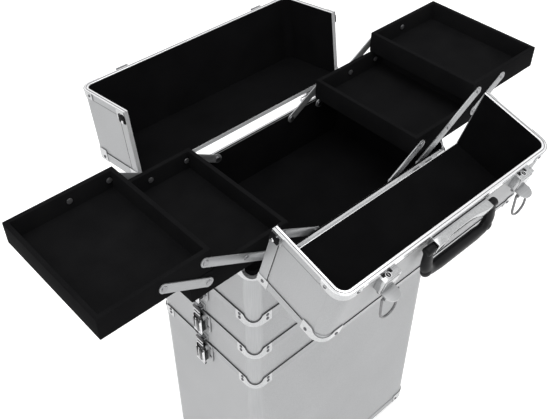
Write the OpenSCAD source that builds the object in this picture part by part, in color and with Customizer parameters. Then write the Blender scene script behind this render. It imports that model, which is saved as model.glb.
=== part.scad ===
// Rolling makeup case: a bin, two slim sections and a top section stacked on wheels and feet.
// Shown open: the half lids stand open to the front and the rear, and four cantilever trays
// reach out to the left and the right. Millimetres, +Z up, front towards -Y, floor at Z = 0.

/* [Case] */
// Length of the case, along X
case_l = 360; // [345:1:420]
// Width of the case, along Y
case_w = 204; // [196:1:240]
// Height of the bin at the bottom of the stack
bin_h = 376; // [300:1:440]
// Height of each slim section above the bin
section_h = 65; // [65:1:90]
// Height of the top section that carries the trays
top_h = 79; // [72:1:110]
// Height of each half lid when it is shut
lid_h = 104; // [98:1:130]
// Outer radius of the rounded corners
corner_r = 16; // [14:1:20]
// Thickness of the laminated panels
panel_t = 4; // [3:0.5:5]
// Thickness of the section floors
floor_t = 4; // [3:0.5:6]
// Thickness of the black lining
lining_t = 1; // [0.6:0.1:1.5]
// Height of the bin's underside above the floor
floor_gap = 22; // [18:1:26]
// Dark gap at the joint between two sections
joint_gap = 0.6; // [0.4:0.1:0.9]

/* [Trim] */
// Width of the aluminium edge profiles
profile_w = 13; // [11:0.5:16]
// Thickness of an edge profile's flange, and of a corner bracket
trim_t = 0.8; // [0.6:0.1:1.2]
// Thickness of the cap that covers the panel edges
cap_t = 1.2; // [0.8:0.1:2]
// Height of the corner brackets
bracket_h = 17; // [15:0.5:20]
// Height of the top brackets under their dips
rim_lip = 3; // [2:0.5:8]
// Length of a bracket's ears beyond the rounded corner
ear_l = 14; // [11:0.5:18]
// Depth of the U-shaped dip at each corner
dip_depth = 9; // [7:0.5:11]
// Radius of the dip
dip_r = 12.4; // [11.5:0.1:14]
// Radius of the small rivet heads
rivet_head_r = 1.7; // [1.2:0.1:2.2]

/* [Lids] */
// How far the front lid stands open, in degrees
front_open = 105.5; // [96:0.5:110]
// How far the rear lid stands open, in degrees
rear_open = 98; // [94:0.5:106]
// Distance from the case wall out to the hinge axes
hinge_out = 8; // [7:0.5:11]
// Gap between the two half lids when they are shut
split_gap = 1; // [0.6:0.1:2]
// Gap between the lids and the top section's rim
lid_gap = 0.5; // [0.3:0.1:1]
// Width of the bright rim along the split
rim_w = 9.5; // [8:0.5:14]
// Gap between a hinge and the ears of the corner brackets
hinge_gap = 9; // [4:0.5:20]
// Width of a hinge
hinge_w = 38; // [30:1:44]
// Height of a hinge leaf
leaf_h = 24; // [18:1:28]
// Thickness of a hinge leaf
leaf_t = 1.5; // [1:0.1:2]
// Radius of the hinge knuckles
knuckle_r = 4; // [3.2:0.1:4.5]
// Radius of the hinge pins
hinge_pin_r = 1.6; // [1.2:0.1:2]

/* [Trays] */
// Length of a tray, along X
tray_l = 143; // [120:1:150]
// Height of a tray
tray_h = 31; // [27:0.5:31.5]
// Thickness of the tray walls
tray_wall = 6; // [4:0.5:7]
// Thickness of the tray floors
tray_floor = 4; // [3:0.5:6]
// Room between a tray's side and the lining, which the arms work in
tray_side_gap = 4; // [3.6:0.1:5]
// Height of the lower trays' undersides above the rim
tray_lift = 8; // [6:0.5:12]
// Half of the gap between the left and right trays when they are stowed
stow_gap = 2; // [1:0.5:4]
// Horizontal reach of an arm between two pivots
arm_reach = 56; // [52:0.5:58]
// Rise of an arm between two pivots
arm_rise = 32; // [32:0.5:34]
// Width of the flat arms
arm_w = 12; // [10:0.5:13]
// Thickness of the flat arms
arm_t = 1.6; // [1.2:0.1:2]
// Running gap beside the arms
arm_gap = 0.4; // [0.3:0.1:0.6]
// Depth of the pivots below a tray's top edge
pivot_drop = 13; // [11:0.5:15]
// Gap between the first rivet heads in a tray and the tray's end wall
pivot_clear = 0.3; // [0.2:0.1:4]
// Distance between the two pivots of an upper tray
upper_pitch = 54; // [45:1:60]
// Radius of the rivets that the arms turn on
rivet_r = 2.5; // [2:0.1:3]

/* [Carry handle] */
// Distance of the handle and the locks to the right of the lid's middle
hardware_shift = 8; // [0:1:12]
// Length of the handle's chrome plate
plate_l = 96; // [90:1:120]
// Width of the handle's chrome plate
plate_w = 16; // [14:0.5:18]
// Height of the plate above the lid between its two end blocks
plate_t = 7; // [3:0.5:8]
// Height of the handle's pivot above the lid
handle_rise = 8; // [7:0.5:9]
// Length of the grip from its pivot to the middle of its bar
grip_drop = 35; // [34:1:58]
// Thickness of the grip's flattened bar
grip_t = 13; // [12:0.5:17]
// Height of the grip's flattened bar
grip_h = 18; // [18:0.5:24]
// Thickness of the grip's two legs
leg_t = 13; // [10:0.5:17]
// Radius of the handle's pivot pins
handle_pin_r = 2.8; // [2:0.1:3.2]

/* [Lid locks] */
// Gap between a lock's base and the ears of the lid's brackets
lock_gap = 10; // [4:1:30]
// Width of a lock's base
lock_w = 26; // [22:0.5:28]
// Length of a lock's base
lock_l = 22; // [20:0.5:24]
// Height of a lock's base
lock_h = 10; // [8:0.5:12]
// Wall of a lock's base round its cylinder
lock_lip = 1; // [0.6:0.1:2]
// Distance of a lock's cylinder from the middle of its base
key_shift = 3; // [0:0.5:6]
// Length of the lock's lever
lever_l = 19.5; // [18:0.5:26]
// Angle of the swung-out lever above the lid, in degrees
lever_lift = 88; // [60:1:92]
// Length of the wire bail
bail_l = 34; // [28:0.5:38]
// Radius of the bail's wire
bail_r = 1.5; // [1:0.1:1.8]

/* [End latches] */
// Width of a latch's base plate
latch_w = 38; // [32:0.5:40]
// Height of a latch's base plate
latch_h = 48; // [46:0.5:49]
// Width of a latch's lever
latch_lever_w = 18; // [15:0.5:20]
// Length of a latch's lever below its pivot
latch_lever_l = 34; // [30:0.5:34.5]
// Width of a latch's claw
claw_w = 13; // [10:0.5:13.5]
// Radius of a latch's pivot pin
latch_pin_r = 1; // [0.8:0.1:1.2]
// Distance of the latches from the middle of each end, towards the rear
latch_shift = 3; // [0:1:20]

/* [Wheels and feet] */
// Radius of the wheels
wheel_r = 25; // [22:0.5:27]
// Width of the wheels
wheel_w = 22; // [18:0.5:24]
// Distance of the wheel centres inside the rear wall
wheel_in = 13; // [11:0.5:16]
// Wall of the wheel housings
housing_wall = 2.5; // [2:0.5:3]
// Radius of the wheel axles
axle_r = 3; // [2.5:0.25:4]
// Radius of the front feet
foot_r = 13; // [10:0.5:16]
// Distance of the front feet inside the front wall
foot_in = 42; // [36:1:50]
// Distance of the front feet inside the ends
foot_side = 48; // [36:1:60]
// Gap between a wheel and the ears of the corner brackets
wheel_side = 3; // [2:0.5:8]

/* [Pull handle] */
// Distance between the two pull tubes
pull_pitch = 130; // [110:1:150]
// Outer radius of the fixed guide tubes
guide_r = 9; // [8.5:0.25:10]
// Outer radius of the sliding tubes
tube_r = 7; // [6:0.25:7.2]
// Wall of the sliding tubes
tube_wall = 1.2; // [1:0.1:2]
// Radius of the pull handle's grip
pull_grip_r = 10; // [9:0.25:11]
// Height of the guides' lower ends above the bin's underside
guide_low = 30; // [24:1:60]
// Depth of the guides' upper ends below the top of the bin
guide_top = 34; // [30:1:60]
// Length of the grip beyond each tube's middle
grip_past = 22; // [18:1:30]
// Travel of the release button
button_travel = 2.5; // [2:0.25:3]

/* [Hidden] */
$fn = 64;
seam = 0.1;          // gap that keeps neighbouring panels separate pieces
fit = 0.05;          // clearance of trim over what it covers
run = 0.1;           // radial clearance of a turning pin
past = 1;            // how far a cutter reaches past what it cuts

half_l = case_l / 2;
half_w = case_w / 2;
z_bin = floor_gap;
z_joint_1 = z_bin + bin_h;
z_joint_2 = z_joint_1 + section_h;
z_joint_3 = z_joint_2 + section_h;
z_rim = z_joint_3 + top_h;
section_tops = [z_joint_1, z_joint_2, z_joint_3, z_rim];
joints = [z_joint_1, z_joint_2, z_joint_3];
inner_t = panel_t + lining_t;

lid_z0 = z_rim + lid_gap;
lid_z1 = z_rim + lid_h;
split_y = split_gap / 2;
hinge_y = half_w + hinge_out;
leaf_back = trim_t + fit;
knuckle_l = hinge_w / 3;
ear_x = half_l - corner_r - ear_l;
hinge_x = ear_x - hinge_gap - hinge_w / 2;

tray_w = case_w - 2 * (inner_t + tray_side_gap);
rivet_head_t = 1.3;
rivet_lap = 1.2;
rivet_cap_r = rivet_r + rivet_lap;
pivot_in = tray_wall + rivet_cap_r + pivot_clear;
lower_x = stow_gap + 2 * arm_reach;
upper_x = stow_gap + 4 * arm_reach;
lower_z = z_rim + tray_lift;
upper_z = lower_z + arm_rise;
pivot_z_lower = lower_z + tray_h - pivot_drop;
pivot_z_body = pivot_z_lower - arm_rise;
pivot_z_upper = pivot_z_lower + arm_rise;
long_on_lower = lower_x + pivot_in + arm_reach;
short_on_lower = lower_x + pivot_in;
long_on_body = long_on_lower - arm_reach;
short_on_body = short_on_lower - arm_reach;
long_on_upper = long_on_lower + arm_reach;
tray_arm_on_upper = long_on_upper + upper_pitch;
tray_arm_on_lower = tray_arm_on_upper - arm_reach;
arm_y = tray_w / 2 + arm_gap;
arm_end_r = arm_w / 2 + 0.2;

clip_l = 18;
clip_h = handle_rise + handle_pin_r + 3;
plate_y = -split_y - rim_w - plate_w / 2 - 0.5;
handle_z = lid_z1 + handle_rise;
handle_hang = front_open - 90;
leg_x = plate_l / 2 + 0.5;

lock_x = ear_x - hardware_shift - lock_gap - lock_w / 2;
lock_places = [hardware_shift - lock_x, hardware_shift + lock_x];
lock_cyl_r = lock_h / 2 - lock_lip;
lock_y1 = -split_y - rim_w - fit;
lock_y0 = lock_y1 - lock_l;
lock_z = lid_z1 + fit;
lock_proud = 0.8;
key_w = 1.2;
lever_pin_r = 1.3;
lever_barrel_r = 2.6;
lever_y = lock_y0 - lever_barrel_r - 0.6;
lever_z = lock_z + lock_h - lever_barrel_r - 0.6;
lever_w = lock_w - 5.4;
lever_t = 1.5;
bail_at = 9;
bail_barrel_r = bail_r + 1.1;
bail_half = lever_w / 2 + bail_r + 0.8;
bail_drop = lever_barrel_r - lever_t - bail_barrel_r + 0.3;

latch_t = 1.2;
latch_x = half_l + trim_t + fit;
latch_face = latch_x + latch_t;
latch_barrel_r = latch_pin_r + 0.9;
latch_pin_x = latch_face + latch_barrel_r + run;
latch_pin_drop = 9;
cheek_t = 1.5;
flange_t = 1;
claw_t = 1;
claw_dx = latch_barrel_r + 0.4 + claw_t / 2;
claw_dz = -7;
claw_pin_r = 0.8;
lever_plate_x = claw_dx + claw_t / 2 + 0.4;
lip_z = 5;
lip_t = 2;
hook_gap = 0.3;
hook_t = 1.8;
catch_w = 20;
catch_top = 14;

wheel_x = ear_x - wheel_side - wheel_w / 2;
wheel_y = half_w - wheel_in;
wheel_clear = 2;
well_w = wheel_w + 2 * (wheel_clear + housing_wall + seam);
well_d = wheel_in + wheel_r + wheel_clear + housing_wall + seam;
well_top = 2 * wheel_r + wheel_clear + housing_wall + seam;
tyre_t = 7;
foot_x = half_l - foot_side;

guide_wall = guide_r - tube_r - 0.4;
pull_y = half_w + 2 * trim_t + guide_r + 1.5;
pull_x = pull_pitch / 2;
guide_z0 = z_bin + guide_low;
guide_z1 = z_joint_1 - guide_top;
clamp_h = 14;
pull_grip_z = z_joint_1 + 4;
pull_grip_l = pull_pitch + 2 * grip_past;
button_l = 26;
button_w = 9;
button_up = 3;
pocket_d = 6;

// Shared shapes

// Box between two opposite corners
module block(low, high) {
    translate(low) cube(high - low);
}

// Flat shape raised from one height to another
module slab(z0, z1) {
    translate([0, 0, z0]) linear_extrude(z1 - z0) children();
}

// Shape drawn in X and Z, raised along Y from y0 to y1
module along_y(y0, y1) {
    translate([0, y1, 0]) rotate([90, 0, 0]) linear_extrude(y1 - y0) children();
}

// Rectangle with round corners, centred
module round_rectangle(l, w, r) {
    square([l - 2 * r, w], center = true);
    square([l, w - 2 * r], center = true);
    for (x = [-1, 1], y = [-1, 1]) translate([x * (l / 2 - r), y * (w / 2 - r)]) circle(r);
}

// Outline of the case seen from above, grown or shrunk
module case_outline(grow) {
    round_rectangle(case_l + 2 * grow, case_w + 2 * grow, corner_r + grow);
}

// Outline of a lid seen from the front: round at its two top corners, square at the bottom
module lid_outline(grow, drop = 0) {
    translate([-half_l - grow, lid_z0 - drop])
        square([case_l + 2 * grow, lid_z1 - corner_r - lid_z0 + drop]);
    translate([corner_r - half_l, lid_z0 - drop])
        square([case_l - 2 * corner_r, lid_z1 + grow - lid_z0 + drop]);
    for (x = [-1, 1]) translate([x * (half_l - corner_r), lid_z1 - corner_r]) circle(corner_r + grow);
}

// Quarter ring of the corner posts, from angle 0 to 90 degrees
module quarter_ring(h) {
    rotate_extrude(angle = 90) translate([corner_r - panel_t, 0]) square([panel_t, h]);
}

// Round pin along X, centred on its middle
module pin_x(l, r) {
    rotate([0, 90, 0]) cylinder(h = l, r = r, center = true);
}

// Round pin along Y, centred on its middle
module pin_y(l, r) {
    rotate([90, 0, 0]) cylinder(h = l, r = r, center = true);
}

// Both the right piece and its mirror image on the left
module both_ends() {
    children();
    mirror([1, 0, 0]) children();
}

// Turns a lid drawn shut at the front out to its open angle
module opened(angle) {
    translate([0, -hinge_y, z_rim]) rotate([angle, 0, 0]) translate([0, hinge_y, -z_rim]) children();
}

module on_front_lid() {
    opened(front_open) children();
}

module on_rear_lid() {
    mirror([0, 1, 0]) opened(rear_open) children();
}

// Stacked sections

// Cutter for the U-shaped dip at one corner under the height z
module corner_dip(sx, sy, z, r) {
    translate([sx * (half_l - corner_r), sy * (half_w - corner_r), z + dip_r - dip_depth])
        rotate([0, 90, atan2(sy, sx)]) translate([0, 0, panel_t / 2])
            cylinder(h = corner_r + 2 * panel_t, r = r);
}

// Four walls and the floor of one section, as separate flat panels
module section_panels(z0, z1) {
    side = half_l - corner_r - seam;
    end = half_w - corner_r - seam;
    top = z1 - cap_t - seam;
    for (s = [0, 1]) mirror([0, s, 0]) block([-side, half_w - panel_t, z0], [side, half_w, top]);
    for (s = [0, 1]) mirror([s, 0, 0]) block([half_l - panel_t, -end, z0], [half_l, end, top]);
    slab(z0, z0 + floor_t) case_outline(-panel_t - seam);
}

// Room for the two wheel housings, grown by g on every side
module wheel_wells(g) {
    for (s = [0, 1]) mirror([s, 0, 0])
        block([wheel_x - well_w / 2 - g, half_w - well_d - g, z_bin - past],
              [wheel_x + well_w / 2 + g, half_w + past, well_top + g]);
}

module bin_panels() {
    color("silver") difference() {
        section_panels(z_bin, z_joint_1);
        wheel_wells(0);
    }
}

module lower_section_panels() {
    color("silver") section_panels(z_joint_1 + joint_gap, z_joint_2);
}

module upper_section_panels() {
    color("silver") section_panels(z_joint_2 + joint_gap, z_joint_3);
}

module top_panels() {
    color("silver") section_panels(z_joint_3 + joint_gap, z_rim);
}

// One rounded corner post, with a dip at its top and a tongue that fills the dip below it
module corner_post(sx, sy, z0, z1, tongue) {
    place = [sx * (half_l - corner_r), sy * (half_w - corner_r), 0];
    turn = sx > 0 ? (sy > 0 ? 0 : 270) : (sy > 0 ? 90 : 180);
    top = z1 - cap_t - seam;
    difference() {
        translate(place + [0, 0, z0]) rotate(turn) quarter_ring(top - z0);
        corner_dip(sx, sy, z1, dip_r);
    }
    if (tongue) intersection() {
        translate(place + [0, 0, z0 - dip_depth]) rotate(turn) quarter_ring(dip_depth + seam);
        corner_dip(sx, sy, z0 - joint_gap, dip_r - joint_gap / 2);
    }
}

module corner_posts() {
    starts = [z_bin, z_joint_1 + joint_gap, z_joint_2 + joint_gap, z_joint_3 + joint_gap];
    color("gainsboro") for (i = [0 : 3], sx = [-1, 1], sy = [-1, 1])
        corner_post(sx, sy, starts[i], section_tops[i], i > 0);
}

// Edge profile round the top of one section
module rim_profile(z1) {
    difference() {
        slab(z1 - profile_w, z1) case_outline(trim_t);
        slab(z1 - profile_w - past, z1 - cap_t) case_outline(fit);
        slab(z1 - cap_t - past, z1 + past) case_outline(-inner_t);
        for (sx = [-1, 1], sy = [-1, 1]) corner_dip(sx, sy, z1, dip_r);
    }
}

// Edging round the underside of the bin
module base_profile() {
    difference() {
        slab(z_bin - trim_t, z_bin + profile_w) case_outline(trim_t);
        slab(z_bin - fit, z_bin + profile_w + past) case_outline(fit);
        slab(z_bin - trim_t - past, z_bin) case_outline(-profile_w);
        wheel_wells(fit);
    }
}

module edge_profiles() {
    color("whitesmoke") {
        for (z = section_tops) rim_profile(z);
        base_profile();
    }
}

// Rivet heads on the ears of one corner bracket, at the height z
module ear_rivets(sx, sy, z) {
    out = 2 * trim_t;
    back = corner_r + ear_l / 2;
    translate([sx * (half_l - back), sy * (half_w + out), z]) pin_y(2 * trim_t, rivet_head_r);
    translate([sx * (half_l + out), sy * (half_w - back), z]) pin_x(2 * trim_t, rivet_head_r);
}

// Bracket round one corner between two heights, with its dip under the height z_dip
module corner_bracket(sx, sy, z0, z1, z_dip) {
    reach = 2 * (corner_r + ear_l);
    h = z1 - z0;
    difference() {
        intersection() {
            slab(z0, z1) case_outline(2 * trim_t);
            translate([sx * half_l, sy * half_w, z0 + h / 2]) cube([reach, reach, 2 * h], center = true);
        }
        slab(z0 - past, z1 + past) case_outline(trim_t + fit);
        corner_dip(sx, sy, z_dip, dip_r);
    }
    ear_rivets(sx, sy, z0 + bracket_h / 3);
}

module corner_brackets() {
    base_dip = z_joint_1 * 2;
    color("white") for (sx = [-1, 1], sy = [-1, 1]) {
        for (z = joints) corner_bracket(sx, sy, z - bracket_h, z - seam, z);
        corner_bracket(sx, sy, z_rim - dip_depth - rim_lip, z_rim - seam, z_rim);
        corner_bracket(sx, sy, z_bin - trim_t, z_bin + bracket_h, base_dip);
    }
}

// Lining of one section: walls and a floor
module section_lining(z0, z1) {
    bottom = z0 + floor_t + seam;
    difference() {
        slab(bottom, z1 - cap_t - seam) case_outline(-panel_t - seam);
        slab(bottom + lining_t, z1) case_outline(-inner_t);
    }
}

module case_linings() {
    color("black") {
        difference() {
            section_lining(z_bin, z_joint_1);
            wheel_wells(seam);
        }
        for (z = [z_joint_1, z_joint_2]) section_lining(z + joint_gap, z + section_h);
        section_lining(z_joint_3 + joint_gap, z_rim);
    }
}

// Draw latches on the two ends

// Base plate with a rounded foot, its cheeks and pivot pin, and the catch above the joint z
module latch_plate(z) {
    low = z - latch_h;
    round_r = latch_w / 2;
    pad = round_r - 4;
    pin_z = z - latch_pin_drop;
    cheek_y = latch_lever_w / 2 + run;
    lip_x = latch_pin_x + claw_dx - claw_t / 2 - 0.8;
    lip_half = claw_w / 2 + 0.5;
    translate([latch_x, 0, 0]) rotate([90, 0, 90]) linear_extrude(latch_t) {
        translate([-round_r, low + round_r]) square([latch_w, latch_h - round_r - 1]);
        translate([0, low + round_r]) circle(round_r);
    }
    block([half_l + fit, -pad, low + round_r], [latch_face, pad, z - profile_w - fit]);
    for (s = [-1, 1]) {
        for (drop = [8, 26]) translate([latch_face, s * pad, z - drop]) pin_x(1.6, rivet_head_r);
        translate([latch_x, s * (cheek_y + cheek_t / 2) - cheek_t / 2, pin_z - 5])
            cube([latch_pin_x - latch_x + latch_barrel_r, cheek_t, 9]);
    }
    translate([latch_pin_x, 0, pin_z]) pin_y(2 * (cheek_y + cheek_t), latch_pin_r);
    block([half_l + fit, -catch_w / 2, z + joint_gap + 1], [half_l + latch_t, catch_w / 2, z + catch_top]);
    block([half_l + fit, -lip_half, z + lip_z], [lip_x, lip_half, z + lip_z + lip_t]);
}

// Shifts a latch from the middle of its end towards the rear
module at_latch() {
    translate([0, latch_shift, 0]) children();
}

module end_latch_plates() {
    color("gainsboro") both_ends() at_latch() for (z = joints) latch_plate(z);
}

// Lever of a right-hand latch under the joint z: flanges on the pivot and a ribbed plate
module latch_lever(z) {
    outer = lever_plate_x + flange_t;
    inner = 0.2 - latch_barrel_r;
    top = claw_dz - 3;
    low = -latch_lever_l;
    half = latch_lever_w / 2 - run;
    at_latch() translate([latch_pin_x, 0, z - latch_pin_drop]) difference() {
        union() {
            pin_y(2 * half, latch_barrel_r);
            for (s = [0, 1]) mirror([0, s, 0]) {
                block([inner, half - flange_t, low + 6], [outer, half, claw_dz + 2.5]);
                block([inner, half - flange_t, claw_dz], [latch_barrel_r, half, 1]);
            }
            block([lever_plate_x, -half, low], [outer, half, top]);
            translate([lever_plate_x + 0.2, 0, low]) pin_y(2 * half, 1.6);
            for (y = [-half / 2, 0, half / 2]) translate([outer, y, (low + top) / 2])
                cylinder(h = top - low - 6, r = 0.8, center = true);
        }
        pin_y(2 * half + 2, latch_pin_r + run);
        translate([claw_dx, 0, claw_dz]) pin_y(2 * half + 2, claw_pin_r + run);
    }
}

// Claw of a right-hand latch: pinned to the lever, hooked over the lip of the catch
module latch_claw(z) {
    side = claw_w / 2;
    pin_z = z - latch_pin_drop + claw_dz;
    x = latch_pin_x + claw_dx;
    hook_z = z + lip_z + lip_t + hook_gap;
    at_latch() {
        translate([x, 0, pin_z]) pin_y(latch_lever_w - 2 * run, claw_pin_r);
        block([x - claw_t / 2, -side, pin_z], [x + claw_t / 2, side, hook_z + hook_t]);
        block([half_l + latch_t + 1, -side, hook_z], [x + claw_t / 2, side, hook_z + hook_t]);
    }
}

// Hinges of the lids

// Leaf below the rim, with two knuckles; drawn at the front
module body_leaf(x) {
    back = -half_w - leaf_back;
    top = z_rim - knuckle_r - 2;
    web = hinge_y - half_w;
    block([x - hinge_w / 2, back - leaf_t, top - leaf_h], [x + hinge_w / 2, back, top]);
    for (s = [-1, 1]) difference() {
        union() {
            translate([x + s * knuckle_l, -hinge_y, z_rim]) pin_x(knuckle_l - 2 * run, knuckle_r);
            block([x + s * knuckle_l - knuckle_l / 2 + run, -half_w - web, top - 3],
                  [x + s * knuckle_l + knuckle_l / 2 - run, back, z_rim - knuckle_r + 1.5]);
        }
        translate([x, -hinge_y, z_rim]) pin_x(2 * hinge_w, hinge_pin_r + fit);
    }
    for (s = [-1, 1]) translate([x + s * hinge_w / 3, back - leaf_t, top - leaf_h * 0.6])
        pin_y(1.2, rivet_head_r);
}

module body_hinge_leaves() {
    color("silver") for (m = [0, 1], x = [-hinge_x, hinge_x]) mirror([0, m, 0]) body_leaf(x);
}

// Leaf on the lid, with one knuckle between the body's two; drawn shut at the front
module lid_leaf(x) {
    back = -half_w - leaf_back;
    low = z_rim + knuckle_r + 2;
    block([x - hinge_w / 2, back - leaf_t, low], [x + hinge_w / 2, back, low + leaf_h]);
    difference() {
        union() {
            translate([x, -hinge_y, z_rim]) pin_x(knuckle_l - 2 * run, knuckle_r);
            block([x - knuckle_l / 2 + run, -hinge_y, z_rim + knuckle_r - 1.5],
                  [x + knuckle_l / 2 - run, back, low + 3]);
        }
        translate([x, -hinge_y, z_rim]) pin_x(2 * hinge_w, hinge_pin_r + run);
    }
}

module lid_leaves() {
    for (x = [-hinge_x, hinge_x]) lid_leaf(x);
}

module hinge_pins() {
    for (m = [0, 1], x = [-hinge_x, hinge_x]) mirror([0, m, 0])
        translate([x, -hinge_y, z_rim]) pin_x(hinge_w + 1, hinge_pin_r);
}

// Lids, drawn shut at the front

module lid_panels() {
    y0 = -half_w + panel_t + seam;
    y1 = -split_y - cap_t - seam;
    side = half_l - corner_r - seam;
    low = lid_z0 + cap_t + seam;
    intersection() {
        along_y(-half_w, -half_w + panel_t) lid_outline(0);
        slab(low, lid_z1 + past) square(4 * case_l, center = true);
    }
    block([-side, y0, lid_z1 - panel_t], [side, y1, lid_z1]);
    both_ends() {
        block([half_l - panel_t, y0, low], [half_l, y1, lid_z1 - corner_r - seam]);
        translate([half_l - corner_r, y1, lid_z1 - corner_r]) rotate([90, 0, 0]) quarter_ring(y1 - y0);
    }
}

module lid_lining() {
    y0 = -half_w + panel_t + seam;
    y1 = -split_y - cap_t - seam;
    low = lid_z0 + cap_t + seam;
    difference() {
        intersection() {
            along_y(y0, y1) lid_outline(-panel_t - seam);
            slab(low, lid_z1 + past) square(4 * case_l, center = true);
        }
        along_y(y0 + lining_t, y1 + past) lid_outline(-inner_t, past);
    }
}

// Bright rim along the split edge
module split_rim() {
    difference() {
        along_y(-split_y - rim_w, -split_y) lid_outline(trim_t);
        along_y(-split_y - rim_w - past, -split_y - cap_t) lid_outline(fit, past);
        along_y(-split_y - rim_w - past, past) lid_outline(-inner_t, past);
    }
}

// Rim along the bottom edges of the front and of both ends
module bottom_rim() {
    top = lid_z0 + profile_w;
    difference() {
        block([-half_l - trim_t, -half_w - trim_t, lid_z0], [half_l + trim_t, -split_y, top]);
        block([-half_l - fit, -half_w - fit, lid_z0 + cap_t], [half_l + fit, past, top + past]);
        block([-half_l + inner_t, -half_w + inner_t, lid_z0 - past], [half_l - inner_t, past, top]);
    }
}

// Angle along the long outer edges of the lid
module edge_angle() {
    front = -half_w - trim_t;
    difference() {
        along_y(front, -half_w + profile_w) lid_outline(trim_t);
        along_y(-half_w - fit, -half_w + profile_w + past) lid_outline(fit, past);
        along_y(front - past, 0) lid_outline(-profile_w, past);
    }
}

module lid_profiles() {
    split_rim();
    bottom_rim();
    edge_angle();
}

// Bracket over one rounded edge between two places along Y; the dip opens towards the split
module lid_bracket(y0, y1, dipped) {
    reach = 2 * (corner_r + ear_l);
    w = y1 - y0;
    out = 2 * trim_t;
    back = corner_r + ear_l / 2;
    mid = y0 + bracket_h / 3;
    difference() {
        intersection() {
            along_y(y0, y1) lid_outline(out);
            translate([half_l, y0 + w / 2, lid_z1]) cube([reach, 2 * w, reach], center = true);
        }
        along_y(y0 - past, y1 + past) lid_outline(trim_t + fit, past);
        if (dipped) translate([half_l - corner_r, y1 + dip_r - dip_depth, lid_z1 - corner_r])
            rotate([0, 45, 0]) cylinder(h = 2 * corner_r, r = dip_r);
    }
    translate([half_l + out, mid, lid_z1 - back]) pin_x(2 * trim_t, rivet_head_r);
    translate([half_l - back, mid, lid_z1 + out]) cylinder(h = 2 * trim_t, r = rivet_head_r, center = true);
}

// Plate on the end of the lid at a bottom corner, from y0 to y1
module lid_corner_plate(y0, y1) {
    x = half_l + trim_t + fit;
    block([x, y0, lid_z0], [x + trim_t, y1, lid_z0 + bracket_h]);
    translate([x + trim_t, (y0 + y1) / 2, lid_z0 + bracket_h / 2]) pin_x(2 * trim_t, rivet_head_r);
}

module lid_corners() {
    both_ends() {
        lid_bracket(-half_w - trim_t, -half_w + bracket_h, true);
        lid_bracket(-split_y - rim_w, -split_y - seam, false);
        lid_corner_plate(-half_w - trim_t, -half_w + ear_l);
        lid_corner_plate(-split_y - ear_l, -split_y - seam);
    }
}

module front_lid_panels() { color("silver") on_front_lid() lid_panels(); }
module rear_lid_panels() { color("silver") on_rear_lid() lid_panels(); }
module front_lid_lining() { color("black") on_front_lid() lid_lining(); }
module rear_lid_lining() { color("black") on_rear_lid() lid_lining(); }
module front_lid_profiles() { color("whitesmoke") on_front_lid() lid_profiles(); }
module rear_lid_profiles() { color("whitesmoke") on_rear_lid() lid_profiles(); }
module front_lid_corners() { color("white") on_front_lid() lid_corners(); }
module rear_lid_corners() { color("white") on_rear_lid() lid_corners(); }
module front_lid_hinge_leaves() { color("silver") on_front_lid() lid_leaves(); }
module rear_lid_hinge_leaves() { color("silver") on_rear_lid() lid_leaves(); }

// Carry handle

module carry_handle_plate() {
    z0 = lid_z1 + fit;
    end = plate_l / 2;
    y0 = plate_y - plate_w / 2;
    y1 = plate_y + plate_w / 2;
    color("gainsboro") on_front_lid() translate([hardware_shift, 0, 0]) difference() {
        union() {
            block([-end, y0, z0], [end, y1, z0 + plate_t]);
            both_ends() block([end - clip_l, y0, z0], [end, y1, z0 + clip_h]);
        }
        both_ends() translate([end, plate_y, handle_z]) pin_x(2 * clip_l, handle_pin_r + run);
    }
}

// Lets what is drawn along -Y from the handle's pivot hang straight down
module at_handle() {
    on_front_lid() translate([hardware_shift, plate_y, handle_z]) rotate([-handle_hang, 0, 0]) children();
}

// U-shaped grip between two legs
module carry_handle_grip() {
    r = grip_t / 2;
    flat = grip_h / 2 - r;
    pin_l = leg_t + clip_l - 1;
    color("dimgray") at_handle() both_ends() {
        translate([leg_x + leg_t - pin_l / 2, 0, 0]) pin_x(pin_l, handle_pin_r);
        translate([leg_x, 0, 0]) rotate([90, 0, 90]) linear_extrude(leg_t) {
            circle(handle_pin_r + 3);
            translate([-grip_drop - flat, -5]) square([grip_drop + flat, 10]);
            grip_section(r, flat);
        }
        translate([-seam, 0, 0]) rotate([90, 0, 90]) linear_extrude(leg_x + 2 * seam) grip_section(r, flat);
    }
}

// Cross-section of the grip's bar: a flattened round
module grip_section(r, flat) {
    for (s = [-1, 1]) translate([s * flat - grip_drop, 0]) circle(r);
    translate([-grip_drop - flat, -r]) square([2 * flat, 2 * r]);
}

// Locks on the front lid and their catches on the rear lid

module lock_base(x) {
    side = lock_w / 2;
    top = lock_z + lock_h;
    middle = lock_z + lock_h / 2;
    translate([x, 0, 0]) {
        difference() {
            block([-side, lock_y0, lock_z], [side, lock_y1, top]);
            translate([-key_shift, lock_y1, middle]) pin_y(2, lock_cyl_r);
        }
        both_ends() block([lever_w / 2 + run, lever_y - lever_barrel_r, lock_z],
                          [side, lock_y0, lever_z + lever_barrel_r]);
        translate([-key_shift, lock_y1, middle]) difference() {
            along_y(-1, lock_proud) circle(lock_cyl_r - 0.8);
            block([-key_w / 2, lock_proud - 1, -lock_cyl_r / 2], [key_w / 2, lock_proud + past, lock_cyl_r / 2]);
        }
        translate([0, lever_y, lever_z]) pin_x(lock_w, lever_pin_r);
    }
}

module lid_lock_bases() {
    color("gainsboro") on_front_lid() for (x = lock_places) lock_base(x);
}

// Turns what is drawn along -Y from a lock's pivot to the swung-out lever's place
module at_lever(x) {
    on_front_lid() translate([x, lever_y, lever_z]) rotate([-lever_lift, 0, 0]) children();
}

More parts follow.
